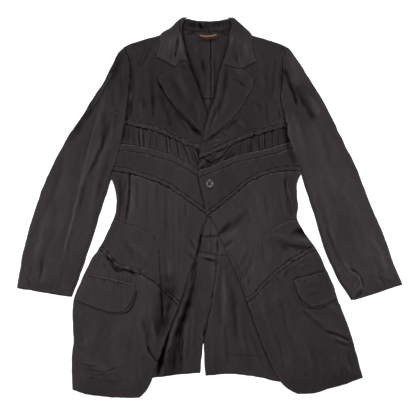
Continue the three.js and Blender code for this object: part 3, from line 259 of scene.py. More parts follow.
rightGatherDeep = [
    (-165, 187, -164, 138, 0, -1.1, 2.1, 1.05), (-154, 182, -153, 138, 0, -1.2, 2.4, 1.19),
    (-139, 178, -139, 138, 0, -0.7, 1.9, 0.63), (-125, 175, -125, 133, 0, -0.6, 1.9, 0.63),
    (-102, 173, -98, 128, 0, -1.1, 2.1, 1.05), (-94, 168, -90, 131, 0, -0.7, 1.9, 0.7),
    (-79, 164, -69, 117, 0, -0.9, 2.4, 0.77), (-69, 159, -45, 105, 1, -0.7, 2.8, 0.63),
    (-52, 154, -31, 93, 1, -0.7, 2.6, 0.63), (-41, 145, -22, 84, 0, -0.9, 3.1, 0.84),
    (-177, 187, -179, 145, 0, -0.5, 2.1, 0.42), (-189, 189, -190, 154, 0, -0.6, 2.8, 0.56),
    (-203, 192, -208, 154, 0, -0.4, 2.8, 0.35), (-29, 135, -15, 93, 0, -1.0, 3.8, 1.05),
    (-111, 173, -109, 135, 0, 0.5, 2.8, -0.28), (-146, 182, -146, 138, 0, 0.5, 2.4, -0.28),
]
leftGatherDeep = [
    (91, 154, 91, 112, 0, -0.6, 1.9, 0.68), (98, 159, 98, 117, 0, -0.9, 2.1, 1.05),
    (117, 166, 117, 128, 0, -0.7, 2.1, 0.83), (131, 172, 131, 133, 0, -0.9, 2.1, 1.05),
    (147, 175, 147, 138, 0, -0.5, 2.1, 0.52), (161, 178, 161, 142, 0, -0.4, 2.4, 0.38),
    (72, 147, 67, 105, 0, -0.5, 2.6, 0.52), (107, 159, 107, 121, 0, 0.4, 2.8, -0.22),
    (53, 140, 46, 102, 0, -0.5, 3.3, 0.52), (178, 184, 189, 132, 0, -0.6, 6.0, 0.9),
]
sleeveDeep = [
    (-243, 225, -255, 135, 1, -0.6, 8.0, 0.8), (-215, 243, -224, 159, 0, -0.3, 7.1, 0.5),
    (-236, 227, -215, 221, 0, 0.4, 2.1, -0.5), (-236, 220, -217, 215, 0, -0.4, 2.1, 0.6),
    (-394, -118, -398, -170, 1, -0.4, 3.1, 0.7), (-414, -128, -426, -177, 0, -0.3, 2.8, 0.5),
    (-384, -41, -391, -100, 0, -0.2, 3.8, 0.4), (-210, 347, -205, 229, 2, -0.2, 3.3, 0.5),
    (192, 347, 213, 281, 0, 0.4, 5.9, -0.3), (364, -196, 340, -215, 0, -0.9, 2.6, 1.8),
    (335, -168, 338, -189, 0, -0.4, 1.9, 0.8), (349, -170, 352, -189, 0, -0.4, 1.9, 0.8),
    (337, -168, 349, -167, 0, -0.3, 1.6, 0.7), (338, -189, 352, -189, 0, -0.3, 1.6, 0.8),
    (342, -172, 345, -185, 0, 0.4, 3.5, -0.7), (345, -196, 359, -185, 0, 0.4, 2.8, -0.4),
    (368, -156, 448, -180, 0, -0.2, 2.8, 0.3), (380, -198, 429, -182, 0, -0.2, 1.9, 0.4),
]
lapelDeep = [
    (-75, 401, -78, 370, 1, -1.1, 2.6, 1.7), (-78, 370, -81, 347, 0, -0.8, 2.4, 1.2),
    (-68, 399, -63, 359, 0, 0.7, 3.8, -0.6), (-90, 377, -92, 342, 0, -0.3, 3.5, 0.4),
    (-88, 342, -52, 347, 1, -0.3, 2.8, 0.7), (-70, 436, -67, 403, 0, -0.5, 2.4, 1.2),
    (50, 301, 72, 294, 1, -0.4, 1.1, 1.0), (69, 296, 85, 283, 0, -0.8, 1.9, 2.1),
    (44, 347, 30, 276, 0, -0.3, 4.7, 0.6), (39, 309, 30, 243, 0, -0.3, 4.2, 0.5),
    (63, 366, 67, 333, 0, -0.4, 3.3, 0.7), (53, 389, 58, 342, 0, -0.3, 4.7, 0.5),
    (30, 262, 9, 211, 1, -0.6, 3.8, 0.9), (18, 243, 2, 187, 0, -0.4, 2.8, 0.7),
    (-48, 340, -36, 307, 0, -0.4, 2.8, 0.9), (-116, 286, -102, 260, 0, 0.4, 2.8, -0.4),
    (-69, 333, -52, 323, 0, -0.3, 3.5, 0.5),
]
neckDeep = [
    (-16, 352, -12, 316, 0, -0.3, 4.2, 1.1), (-10, 309, -12, 262, 0, -0.2, 2.8, 0.6),
    (-29, 337, -22, 290, 0, -0.2, 3.8, 0.5), (-15, 256, 11, 256, 0, -0.3, 1.6, 1.2),
    (-15, 259, 11, 259, 0, 0.3, 1.4, -0.7), (-55, 409, -29, 410, 0, -0.5, 2.6, 1.5),
    (23, 410, 49, 408, 0, -0.5, 2.6, 1.4), (-24, 436, -18, 417, 0, -0.9, 3.5, 1.9),
    (-12, 435, -8, 422, 0, -0.6, 2.8, 1.2), (-52, 431, -27, 427, 0, -0.3, 5.6, 0.9),
    (6, 431, 39, 429, 0, -0.3, 3.8, 0.7), (-3, 420, 44, 420, 0, 0.3, 2.8, -0.3),
    (-29, 394, 23, 394, -3, -0.3, 2.4, 0.9),
]
backDeep = [
    (-20, -69, 25, -66, 0, -0.4, 2.1, 1.6), (-20, -64, 25, -61, 0, 0.3, 1.9, -0.5),
    (-20, -71, -27, -114, 0, -0.3, 2.4, 0.8), (-14, -74, -14, -104, 0, -0.3, 1.9, 0.9),
    (19, -71, 18, -109, 0, -0.4, 3.5, 1.0), (-17, -119, 20, -126, 0, -0.5, 2.4, 2.6),
    (-25, -111, 19, -118, 0, 0.5, 2.6, -0.9), (-11, -285, -12, -304, 0, -0.3, 2.1, 1.4),
    (-12, -304, -13, -321, 0, -0.2, 1.9, 0.9), (-78, -323, -74, -363, 0, -0.3, 6.6, 0.9),
    (-50, -128, -52, -180, 0, -0.2, 2.8, 0.4), (32, -147, 39, -288, -1, 0.4, 6.1, -0.4),
    (49, -170, 63, -288, 0, -0.3, 7.1, 0.3), (-29, -158, -38, -264, 0, -0.2, 5.2, 0.3),
    (35, -345, 133, -349, 0, -0.15, 1.4, 0.7), (-55, -342, -24, -344, 0, -0.15, 1.4, 0.4),
]
facingDeep = [
    (-82, -330, -84, -386, 0, -0.4, 5.2, 1.0), (-93, -340, -92, -380, 0, -0.3, 3.0, 0.5),
    (-97, -339, -102, -386, 0, 0.5, 3.8, -0.3),
]

rightFlapDeep = [
    (-271, -162, -272, -173, 0, -0.3, 1.8, 0.6), (-246, -167, -247, -181, 0, -0.3, 1.7, 0.7),
    (-233, -169, -233, -178, 0, -0.2, 1.5, 0.5), (-214, -173, -216, -187, 0, -0.3, 1.7, 0.8),
    (-224, -172, -225, -184, 0, -0.2, 1.5, 0.5), (-250, -205, -215, -200, 1, -0.2, 8.0, 0.25),
]
leftFlapDeep = [
    (214, -177, 228, -172, 0, -0.3, 1.8, 0.9), (210, -190, 262, -178, 1, -0.2, 2.2, 0.3),
    (222, -208, 275, -196, 1, -0.2, 2.4, 0.3), (236, -226, 268, -218, 0, -0.2, 2.0, 0.25),
]

# Long creases, seam shadows and edge shadows, each along its own curve: x and y along it, height,
# half width and shade.
rightFrontLong = [
    ([-192, -187, -184, -187], [362, 335, 300, 262], -0.3, 5.0, 1.5),
    ([-186, -190, -197, -205], [256, 228, 190, 150], -0.5, 5.0, 1.7),
    ([-133, -134, -131], [262, 238, 214], -0.3, 3.2, 1.1),
    ([-158, -160, -156], [250, 228, 206], 0.3, 4.0, -0.35),
    ([-146, -160, -170], [380, 352, 330], -0.3, 3.2, 0.6),
    ([-104, -97, -90], [234, 214, 190], -0.3, 3.0, 0.7),
    ([-122, -106, -78, -43, -20], [302, 269, 229, 194, 173], -0.4, 1.8, 1.9),
    ([-170, -174, -181, -192, -205], [-192, -214, -233, -246, -250], -0.6, 1.9, 2.2),
    ([-192, -222, -257, -310], [-246, -249.5, -240, -224], -0.3, 1.1, 1.2),
    ([-186, -189, -196], [81, 22, -30], -0.6, 2.8, 1.8),
    ([-28, -20, -14, -8], [79, 46, 18, -8], -0.9, 2.6, 1.3),
    ([-247, -233, -223, -215, -200, -184, -168],
     [-114, -125, -142, -149, -147, -152, -160], -1.5, 4.0, 2.0),
    ([-178, -151, -131, -111, -92, -74], [-142, -156, -171, -188, -210, -228], -0.4, 1.6, 0.9),
    ([-158, -148, -144, -138], [-266, -295, -325, -340], -0.5, 6.0, 0.6),
    ([-147, -139, -128, -120], [-322, -340, -356, -364], -0.6, 3.4, 1.5),
    ([-110, -116, -120, -127], [-196, -228, -262, -300], -0.4, 9.0, 0.7),
    ([-96, -101, -106, -116], [-150, -200, -250, -305], 0.0, 18.0, 1.25),
    ([-78, -90, -109, -121], [-184, -217, -264, -311], -0.3, 7.1, 0.8),
    ([-119, -116, -113, -110], [-88, -140, -190, -262], -0.5, 2.4, 1.1),
]
leftFrontLong = [
    ([105, 96, 82, 63, 46, 23, -8], [295, 276, 255, 229, 211, 185, 154], -0.3, 1.7, 1.7),
    ([196, 197, 204, 212, 221, 234, 255, 277, 303],
     [-170, -177, -194, -212, -228, -236, -237, -229, -216], -0.3, 1.3, 1.8),
    ([194, 236, 277], [-168, -157, -145], -0.4, 1.5, 1.9),
    ([192, 199, 212, 232, 256, 279], [-176, -204, -231, -256, -275, -294], -0.2, 5.0, 0.35),
    ([273, 302, 332], [-290, -300, -313], -0.7, 1.9, 1.8),
    ([293, 317, 341], [-311, -317, -323], -0.5, 1.6, 1.2),
    ([170, 171, 177, 185, 204], [342, 276, 211, 147, 95], -0.6, 6.0, 1.5),
    ([179, 183, 193], [74, 27, -20], -0.6, 3.5, 0.9),
]
rightFlapLong = [
    ([-290, -231, -178], [-159, -171, -184], -0.3, 1.5, 1.4),
]
sleeveLong = [
    ([-264, -284, -302, -319, -337, -346], [212, 129, 53, -17, -88, -128], 0.9, 2.1, -1.2),
    ([-240, -252, -270], [290, 245, 180], 0.6, 6.0, -0.5),
    ([-264, -280, -292], [215, 159, 112], -0.5, 5.2, 0.6),
    ([-205, -226, -260, -296, -327], [352, 314, 262, 208, 154], -0.5, 9.5, 1.45),
    ([-219, -226, -245, -266], [206, 159, 93, 18], -0.3, 5.2, 0.6),
    ([204, 213, 231, 251], [290, 267, 234, 201], -0.8, 8.5, 1.05),
    ([176, 184, 197, 207], [330, 303, 270, 236], -0.9, 5.0, 1.8),
    ([273, 288, 301, 314, 326], [-46, -83, -117, -133, -148], -0.3, 2.1, 0.9),
    ([326, 340, 352, 359, 361], [-142, -148, -160, -175, -189], -0.5, 1.8, 1.4),
]
neckLong = [
    ([-63, -62, -54, -45, -30, -14, -1], [441, 403, 366, 340, 300, 251, 211], -0.5, 4.0, 1.9),
    ([51, 49, 37, 23, 11, -2], [436, 384, 352, 305, 258, 213], -0.4, 5.6, 1.5),
    ([3, 3], [401, 259], -0.5, 1.3, 1.3), ([-1, -1], [399, 260], 0.3, 1.2, -0.5),
    ([8, 8], [399, 260], 0.3, 1.2, -0.5),
]
backLong = [
    ([18, 16, 6, -4, -11, -13], [-125, -154, -212, -264, -292, -323], -0.2, 1.3, 0.8),
    ([-36, -48, -58, -74, -83], [-180, -224, -257, -289, -309], -0.5, 6.5, 1.2),
    ([-46, -56, -66, -76], [-215, -245, -290, -345], -0.3, 10.0, 1.0),
    ([-60, -65, -63], [-306, -344, -384], -0.4, 1.9, 1.3),
    ([6, 33, 60, 98, 140, 152], [-20, -83, -142, -250, -363, -393], -0.2, 2.8, 1.7),
    ([-19, -24, -29, -33], [-60, -80, -100, -116], -0.3, 2.4, 1.6),
    ([-5, -17, -27, -45], [-20, -57, -104, -161], -0.3, 3.3, 1.6),
    ([32, 39, 46], [-142, -217, -311], 0.4, 5.6, -0.35), ([58, 72, 86], [-182, -252, -323], -0.3, 6.1, 0.3),
]
facingLong = [
    ([-41, -59, -77, -92, -102], [-165, -225, -275, -320, -352], 1.3, 3.6, -1.3),
    ([-50, -57, -71, -90, -104], [-170, -194, -231, -278, -306], -0.7, 3.8, 1.5),
    ([-94, -106, -113, -116, -122], [-283, -318, -345, -366, -396], -1.2, 4.2, 4.2),
    ([-98, -107, -111, -112], [-296, -325, -348, -374], -0.8, 8.0, 3.2),
]

# Broad soft folds, as in the solids: start x and y, end x and y, height and half width.
broadFolds = [
    (30, -60, 78, -170, 1.8, 13), (70, -70, 100, -150, 1.4, 12), (118, -250, 190, -395, 2.0, 16),
    (160, -215, 235, -370, 1.5, 15), (255, -262, 318, -305, 1.4, 11), (-60, -60, -92, -180, 1.6, 13),
    (-95, -230, -140, -390, 1.7, 15), (-160, -255, -152, -345, 1.3, 12), (-215, -290, -225, -400, 1.6, 15),
    (-290, -370, -240, -385, 1.2, 11), (-262, 190, -300, 60, 1.8, 15), (-322, 60, -372, -120, 1.3, 14),
    (245, 180, 292, 60, 1.6, 15), (310, 40, 372, -110, 1.4, 14),
]


def curve(table):
    return np.stack([table["x"], table["y"]], axis=1).astype(float)


def soften(points, step=5.0):
    # Rounds the bends of an edge.
    if isinstance(points, dict):
        points = curve(points)
    padded = np.vstack([2 * points[0] - points[1], points, 2 * points[-1] - points[-2]])
    out = [points[0]]
    for a, b, c, d in zip(padded[:-3], padded[1:-2], padded[2:-1], padded[3:]):
        t0 = 0.0
        t1 = t0 + max(1e-6, np.linalg.norm(b - a)) ** 0.5
        t2 = t1 + max(1e-6, np.linalg.norm(c - b)) ** 0.5
        t3 = t2 + max(1e-6, np.linalg.norm(d - c)) ** 0.5
        count = max(1, int(round(np.linalg.norm(c - b) / step)))
        for k in range(1, count + 1):
            t = t1 + (t2 - t1) * k / count
            ab = (t1 - t) / (t1 - t0) * a + (t - t0) / (t1 - t0) * b
            bc = (t2 - t) / (t2 - t1) * b + (t - t1) / (t2 - t1) * c
            cd = (t3 - t) / (t3 - t2) * c + (t - t2) / (t3 - t2) * d
            abc = (t2 - t) / (t2 - t0) * ab + (t - t0) / (t2 - t0) * bc
            bcd = (t3 - t) / (t3 - t1) * bc + (t - t1) / (t3 - t1) * cd
            out.append((t2 - t) / (t2 - t1) * abc + (t - t1) / (t2 - t1) * bcd)
    return np.array(out)


def pointed(table):
    points = curve(table)
    return joined(points[:1], soften(points[1:]))


def lengths(points):
    return np.concatenate([[0], np.cumsum(np.linalg.norm(np.diff(points, axis=0), axis=1))])


def resample(points, parts):
    reach = lengths(points)
    at = np.asarray(parts) * reach[-1]
    return np.stack([np.interp(at, reach, points[:, 0]), np.interp(at, reach, points[:, 1])], axis=1)


def atHeight(points, y):
    order = np.argsort(points[:, 1])
    return np.array([np.interp(y, points[order, 1], points[order, 0]), y])


def between(points, top, bottom):
    inner = points[(points[:, 1] < top[1] - 0.5) & (points[:, 1] > bottom[1] + 0.5)]
    return np.vstack([top, inner, bottom])


def stretch(points, topY, bottomY):
    return between(points, atHeight(points, topY), atHeight(points, bottomY))


def across(seam, dy, leftEdge, rightEdge):
    moved = seam + (0, dy)
    moved[0] = atHeight(leftEdge, moved[0][1])
    moved[-1] = atHeight(rightEdge, moved[-1][1])
    return moved


def partedAt(seam, x):
    place = np.array([x, np.interp(x, seam[:, 0], seam[:, 1])])
    return np.vstack([seam[seam[:, 0] < x], place]), np.vstack([place, seam[seam[:, 0] > x]])


def joined(*edges):
    points = np.vstack(edges)
    keep = np.concatenate([[True], np.linalg.norm(np.diff(points, axis=0), axis=1) > 0.5])
    return points[keep]


def smooth(low, high, value):
    part = np.clip((value - low) / (high - low), 0, 1)
    return part * part * (3 - 2 * part)


def toSegment(x, y, a, b):
    dx, dy = b[0] - a[0], b[1] - a[1]
    part = np.clip(((x - a[0]) * dx + (y - a[1]) * dy) / (dx * dx + dy * dy + 1e-9), 0, 1)
    return np.hypot(x - a[0] - part * dx, y - a[1] - part * dy)


rightRollLine = soften(rightRoll)
leftRollLine = soften(leftRoll)
rightEdges = {"shoulder": soften(rightShoulder), "armhole": soften(rightArmhole), "side": soften(rightSide),
              "outer": soften(rightSleeveOuter), "inner": soften(rightSleeveInner), "hem": soften(rightHem),
              "front": soften(rightFrontEdge)}
leftEdges = {"shoulder": soften(leftShoulder), "armhole": soften(leftArmhole), "side": soften(leftSide),
             "outer": soften(leftSleeveOuter), "inner": soften(leftSleeveInner), "hem": soften(leftHem),
             "front": soften(leftFrontEdge)}
freeEdges = [soften(curve(table), 16) for table in (
    rightShoulder, leftShoulder, rightSleeveOuter, rightSleeveInner, leftSleeveOuter, leftSleeveInner,
    rightSide, leftSide, rightHem, leftHem, rightFrontEdge, leftFrontEdge)]
freeEdges += [np.array([freeEdges[2][-1], freeEdges[3][-1]]), np.array([freeEdges[5][-1], freeEdges[4][-1]])]
outline = np.vstack(freeEdges + [soften(rightCollarOuter), soften(leftCollarOuter)])
offset = -(outline.min(axis=0) + outline.max(axis=0)) / 2


def edgeDistance(x, y):
    near = np.full(x.shape, 1e9)
    for points in freeEdges:
        for a, b in zip(points[:-1], points[1:]):
            near = np.minimum(near, toSegment(x, y, a, b))
    return near


def frontUnder(x, y):
    lift = 1 - np.exp(-((edgeDistance(x, y) / front["reach"]) ** 2))
    folds = sum(high * np.exp(-((toSegment(x, y, (x1, y1), (x2, y2)) / wide) ** 2))
                for x1, y1, x2, y2, high, wide in broadFolds)
    return cloth["wall"] + cloth["seamGap"] + lift * (front["rise"] + folds)


def overLift(x, y):
    sideways = 1 - smooth(front["overlapFull"], front["overlapEnd"], x)
    along = smooth(-70, -20, y) * (1 - smooth(205, 250, y))
    return sideways * along * (cloth["wall"] + cloth["layerGap"])


def leftUnder(x, y):
    return frontUnder(x, y) + overLift(x, y)


def onRight(x, y):
    return frontUnder(x, y) + cloth["wall"] + cloth["layerGap"]


def onLeft(x, y):
    return leftUnder(x, y) + cloth["wall"] + cloth["layerGap"]


def onFloor(x, y):
    return np.zeros(x.shape)


def onBack(x, y):
    return np.full(x.shape, cloth["wall"] + cloth["seamGap"])


def creaseHeight(x, y, rows):
    # Ridges and troughs, each along a bent line that fades at both ends.
    total = np.zeros(x.shape)
    for x1, y1, x2, y2, bend, high, wide in rows:
        start, end = np.array([x1, y1], float), np.array([x2, y2], float)
        run = end - start
        size = np.hypot(*run)
        reach = 3 * wide + abs(bend) + 0.15 * size
        near = toSegment(x, y, start, end) < reach
        if not near.any():
            continue
        px, py = x[near], y[near]
        side = np.array([-run[1], run[0]]) / size
        along = ((px - x1) * run[0] + (py - y1) * run[1]) / size ** 2
        part = np.clip(along, 0, 1)
        away = (px - x1) * side[0] + (py - y1) * side[1] - bend * 4 * part * (1 - part)
        fade = smooth(-0.15, 0.4, along) * (1 - smooth(0.6, 1.15, along))
        narrow = wide * (0.5 + 0.5 * np.sin(np.pi * part))
        total[near] += cloth["creaseScale"] * high * fade * np.exp(-((away / narrow) ** 2))
    return total


def deepCreases(x, y, rows):
    # Creases that also paint shade into the cloth's colour: painted shade in the trough, painted highlight on
    # a ridge.
    heights, shades = np.zeros(x.shape), np.zeros(x.shape)
    for x1, y1, x2, y2, bend, high, wide, shade in rows:
        form = creaseHeight(x, y, [(x1, y1, x2, y2, bend, 1.0, wide)]) / cloth["creaseScale"]
        heights += high * form
        shades += cloth["shadeScale"] * shade * form
    return heights, shades


def longCreases(x, y, rows):
    # The same along longer curves, which fade at both ends.
    heights, shades = np.zeros(x.shape), np.zeros(x.shape)
    for xs, ys, high, wide, shade in rows:
        points = soften(np.array([xs, ys], float).T, 9.0)
        reach = lengths(points)
        near, along = np.full(x.shape, 1e9), np.zeros(x.shape)
        for a, b, start, end in zip(points[:-1], points[1:], reach[:-1], reach[1:]):
            run = b - a
            part = np.clip(((x - a[0]) * run[0] + (y - a[1]) * run[1]) / (run @ run), 0, 1)
            away = np.hypot(x - a[0] - part * run[0], y - a[1] - part * run[1])
            closer = away < near
            near[closer] = away[closer]
            along[closer] = (start + part * (end - start))[closer] / reach[-1]
        fade = smooth(-0.05, 0.14, along) * (1 - smooth(0.86, 1.05, along))
        uneven = 0.85 + 0.15 * np.sin(2 * np.pi * along * reach[-1] / 37.0)
        form = fade * uneven * np.exp(-((near / (wide * (0.75 + 0.25 * fade))) ** 2))
        heights += high * form
        shades += cloth["shadeScale"] * shade * form
    return heights, shades


def waveSet(count, shortest, longest, high, seed, spread=0.45):
    # Random soft waves, the same on each run.
    pick = np.random.default_rng(seed)
    angle = pick.normal(0, spread, count)
    wave = pick.uniform(shortest, longest, count)
    phase = pick.uniform(0, 2 * np.pi, count)
    size = high * wave / longest / np.sqrt(count / 2)

    def height(x, y):
        total = np.zeros(x.shape)
        for a, w, p, s in zip(angle, wave, phase, size):
            total += s * np.sin(2 * np.pi * (x * np.cos(a) + y * np.sin(a)) / w + p)
        return total
    return height


broadWaves = waveSet(26, 34, 95, 0.36, 3, 0.6)
smallWaves = waveSet(60, 7, 22, 0.10, 5, 0.6)


def gathers(rows, middleY):
    # Narrow folds that run up and down a gathered band.
    def height(x, y):
        total = np.zeros(x.shape)
        for at, lean, high, wide, top, bottom in rows:
            away = x - at - lean * (middleY - y)
            fade = smooth(bottom - 8, bottom + 8, y) * (1 - smooth(top - 5, top + 8, y))
            total += cloth["gatherScale"] * high * np.exp(-((away / wide) ** 2)) * fade
        return total
    return height


def coons(left, right, top=None, bottom=None, step=None):
    # A four-sided grid of points, closer together at its edges.
    step = step or mesh["step"]
    top = np.vstack([left[0], right[0]]) if top is None else top
    bottom = np.vstack([left[-1], right[-1]]) if bottom is None else bottom
    wide = max(lengths(top)[-1], lengths(bottom)[-1])
    long = max(lengths(left)[-1], lengths(right)[-1])

    def parts(size):
        rim = [r for r in mesh["edge"] if r < size * 0.3]
        inner = np.linspace(rim[-1], size - rim[-1], max(2, int(round((size - 2 * rim[-1]) / step)) + 1))
        return np.concatenate([rim[:-1], inner, [size - r for r in rim[:-1]][::-1]]) / size
    s, t = parts(wide), parts(long)
    topPoints, bottomPoints = resample(top, s), resample(bottom, s)
    leftPoints, rightPoints = resample(left, t), resample(right, t)
    sGrid, tGrid = np.meshgrid(s, t)
    points = np.zeros(sGrid.shape + (2,))
    for axis in (0, 1):
        points[..., axis] = (
            (1 - tGrid) * topPoints[None, :, axis] + tGrid * bottomPoints[None, :, axis]
            + (1 - sGrid) * leftPoints[:, None, axis] + sGrid * rightPoints[:, None, axis]
            - (1 - sGrid) * (1 - tGrid) * left[0][axis] - sGrid * (1 - tGrid) * right[0][axis]
            - (1 - sGrid) * tGrid * left[-1][axis] - sGrid * tGrid * right[-1][axis])
    return points


def rimDistance(points):
    # Distance of each grid point from the four sides, in the order left, right, top, bottom.
    over = np.linalg.norm(np.diff(points, axis=1), axis=2)
    down = np.linalg.norm(np.diff(points, axis=0), axis=2)
    fromLeft = np.concatenate([np.zeros((len(points), 1)), np.cumsum(over, axis=1)], axis=1)
    fromTop = np.concatenate([np.zeros((1, points.shape[1])), np.cumsum(down, axis=0)], axis=0)
    return fromLeft, fromLeft[:, -1:] - fromLeft, fromTop, fromTop[-1:] - fromTop


finish = {"calm": 40, "rim": 1.5, "pucker": 9.0, "floorTop": 1.2, "press": 0.12, "lowest": 1.15,
          "wavyReach": 10, "rounds": 14, "depth": 1.8, "palest": -0.6}
edgeWaves = [waveSet(40, 12, 46, 0.5, 31, 1.4), waveSet(40, 12, 46, 0.5, 32, 1.4)]
seamWaves = [waveSet(30, 7, 17, 1.1, 33, 1.4), waveSet(30, 7, 17, 1.5, 34, 1.4)]
patchy = waveSet(40, 6, 26, 1.3, 35, 1.4)
puckerWaves = waveSet(40, 7, 20, 1.0, 11, 0.8)
wavySeams = [(soften(table, 18), amount) for table, amount in (
    (rightYokeSeam, 1.1), (leftYokeSeam, 0.9), (rightBandFoot, 0.6), (leftBandFoot, 0.6),
    (rightSkirtSeam, 0.35), (leftSkirtSeam, 0.3))]
sleeveTurn = {"rightSleeve": -0.42, "leftSleeve": 0.42}


def wobble(x, y):
    # Cloth edges aren't ruled: every point moves a little, and more along the puckered seams.
    seam = np.zeros(x.shape)
    for points, amount in wavySeams:
        for a, b in zip(points[:-1], points[1:]):
            near = toSegment(x, y, a, b) / finish["wavyReach"]
            seam = np.maximum(seam, amount * np.exp(-(near ** 2)))
    return [edge(x, y) + seam * pucker(x, y) for edge, pucker in zip(edgeWaves, seamWaves)]


def hollowness(z):
    # How deep each point lies under the cloth around it: 1 in a deep trough, below 0 on a ridge. It sets the
    # painted shade in troughs and the painted highlight on ridges.
    near = z
    for _ in range(finish["rounds"]):
        padded = np.pad(near, 1, mode="edge")
        near = (padded[:-2, 1:-1] + padded[2:, 1:-1] + padded[1:-1, :-2] + padded[1:-1, 2:]) / 4
    return np.clip((near - z) / finish["depth"], finish["palest"], 1)


def valueAt(value, x, y):
    return value(x, y) if callable(value) else value


# What a piece of cloth has unless its own dictionary says otherwise. roll, pucker and the painted shade along
# the seams have a value for its left, right, top and bottom side, a painted highlight where below 0.
# proud, extra and the painted shade over the whole piece may be functions of the place.
plain = {"creases": [], "deep": [], "long": [], "proud": 0.0, "roll": (0.7, 0.7, 0.7, 0.7),
         "pucker": (0, 0, 0, 0), "line": (0.6, 0.6, 0.6, 0.6), "pieceShade": 0.0, "extra": 0.0, "waves": 1.0,
         "shell": cloth["shell"], "step": mesh["step"], "slot": "fabric", "grain": "fabric", "stitches": ()}


def clothForm(points, under, look):
    # The height and the shade of each point of a piece.
    x, y = points[..., 0], points[..., 1]
    z = under(x, y) + cloth["wall"] + valueAt(look["proud"], x, y) + creaseHeight(x, y, look["creases"])
    turn = sleeveTurn.get(look["grain"], 0.0)
    over, along = x * np.cos(turn) + y * np.sin(turn), y * np.cos(turn) - x * np.sin(turn)
    calm = smooth(0, finish["calm"], edgeDistance(x, y))
    z = z + look["waves"] * (broadWaves(over, along) * calm + smallWaves(over, along))
    heights, shades = deepCreases(x, y, look["deep"])
    longHeights, longShades = longCreases(x, y, look["long"])
    z = z + heights + longHeights + valueAt(look["extra"], x, y)
    sides = rimDistance(points)
    ripple = puckerWaves(x, y)
    for distance, drop, amount in zip(sides, look["roll"], look["pucker"]):
        z = z - drop * np.exp(-((distance / finish["rim"]) ** 2))
        z = z + amount * ripple * np.exp(-distance / finish["pucker"])
    # Painted shade: darker in hollows, along the crease tables and by the piece's own amount; below 0 it is a
    # painted highlight.
    paintedShade = hollowness(z) + shades + longShades + valueAt(look["pieceShade"], x, y)
    uneven = np.clip(0.85 + 0.6 * patchy(x, y), 0.15, 1.8)
    # Painted shade along each seam, stronger in patches; below 0 it is a painted highlight on the edge.
    for distance, amount in zip(sides, look["line"]):
        paintedShade = paintedShade + amount * uneven * np.exp(-((distance / finish["rim"]) ** 2))
    pressed = finish["floorTop"] + finish["press"] * (z - finish["floorTop"])
    return np.maximum(np.maximum(z, pressed), finish["lowest"]), paintedShade, sides


def addObject(name, bm, *slots):
    data = bpy.data.meshes.new(name)
    bm.to_mesh(data)
    bm.free()
    for polygon in data.polygons:
        polygon.use_smooth = True
    for slot in slots:
        data.materials.append(materials[slot])
    made = bpy.data.objects.new(name, data)
    bpy.context.scene.collection.objects.link(made)
    return made


pieces = []
smallest = 0.0101  # the least side of a sheet in metres


def sew(name, node, under, shape, look):
    # One piece of cloth: a grid laid on its form, with rolled edges, seam puckers and creases.
    look = {**plain, **look}
    points = coons(*shape, step=look["step"]) if isinstance(shape, list) else shape
    z, paintedShade, sides = clothForm(points, under, look)
    x, y = points[..., 0], points[..., 1]
    aside, up = wobble(x, y)
    flat = np.stack([x + aside + offset[0], y + up + offset[1], z], axis=-1) * 0.001
    rows, columns = x.shape
    bm = bmesh.new()
    bmesh.ops.create_grid(bm, x_segments=columns - 1, y_segments=rows - 1, size=0.5, calc_uvs=False)
    # The painted shade of each point, which darkens or lightens the cloth's colour.
    shade = bm.verts.layers.float.new("paintedShade")
    for vert, place, value in zip(bm.verts, flat[::-1].reshape(-1, 3), paintedShade[::-1].reshape(-1)):
        vert.co = place
        vert[shade] = float(value)
    bm.normal_update()
    area = sum(face.calc_area() for face in bm.faces)
    piece = addObject(name, bm, look["grain"] if look["slot"] == "fabric" else look["slot"])
    thick = piece.modifiers.new("thickness", "SOLIDIFY")
    thick.thickness = look["shell"] * 0.001
    thick.offset = -1
    size = [float(np.linalg.norm(np.diff(flat, axis=axis), axis=2).sum(axis=axis).max()) for axis in (1, 0)]
    size = tuple(max(smallest, side) for side in size)
    share = min(1.0, max(0.3, area / (size[0] * size[1])))
    sewn = []
    if look["stitches"]:
        seams = [stitchRow(flat, sides, side, inset) for side, inset in look["stitches"]]
        sewn.append(addStitches(name + "_stitches", seams))
    pieces.append({"piece": piece, "node": node, "slot": look["slot"], "size": size,
                   "area": share * size[0] * size[1], "sewn": sewn})


# Thread: length, width and height of a stitch and the distance from one to the next.
stitch = {"long": 3.0, "wide": 0.6, "high": 0.6, "every": 4.2}


def stitchRow(points, sides, side, inset):
    # A line on the cloth at a set distance from its left, right, top or bottom side.
    distance = sides[("left", "right", "top", "bottom").index(side)]
    if side in ("top", "bottom"):
        distance, points = distance.T, points.transpose(1, 0, 2)
    row = []
    for away, run in zip(distance, points):
        order = np.argsort(away)
        row.append([np.interp(inset, away[order], run[order, axis]) for axis in range(3)])
    return np.array(row)


def addStitches(name, rows):
    # Each stitch is a short spindle half sunk into the cloth.
    bm = bmesh.new()
    form = Matrix.Diagonal((stitch["high"], stitch["wide"], stitch["long"], 1000)) * 0.001
    for row in rows:
        reach = lengths(row) * 1000
        for middle in np.arange(stitch["every"], reach[-1] - stitch["every"], stitch["every"]):
            half = stitch["long"] / 2
            start, spot, end = [
                Vector([float(np.interp(place, reach, row[:, axis])) for axis in range(3)])
                for place in (middle - half, middle, middle + half)]
            turned = (end - start).to_track_quat("Z", "X").to_matrix().to_4x4()
            bmesh.ops.create_uvsphere(bm, u_segments=4, v_segments=4, radius=0.5,
                                      matrix=Matrix.Translation(spot) @ turned @ form)
    return addObject(name, bm, "thread")


def newMaterial(name):
    material = bpy.data.materials.new(name)
    material.use_nodes = True
    nodes, links = material.node_tree.nodes, material.node_tree.links
    return material, nodes, links, nodes["Principled BSDF"]


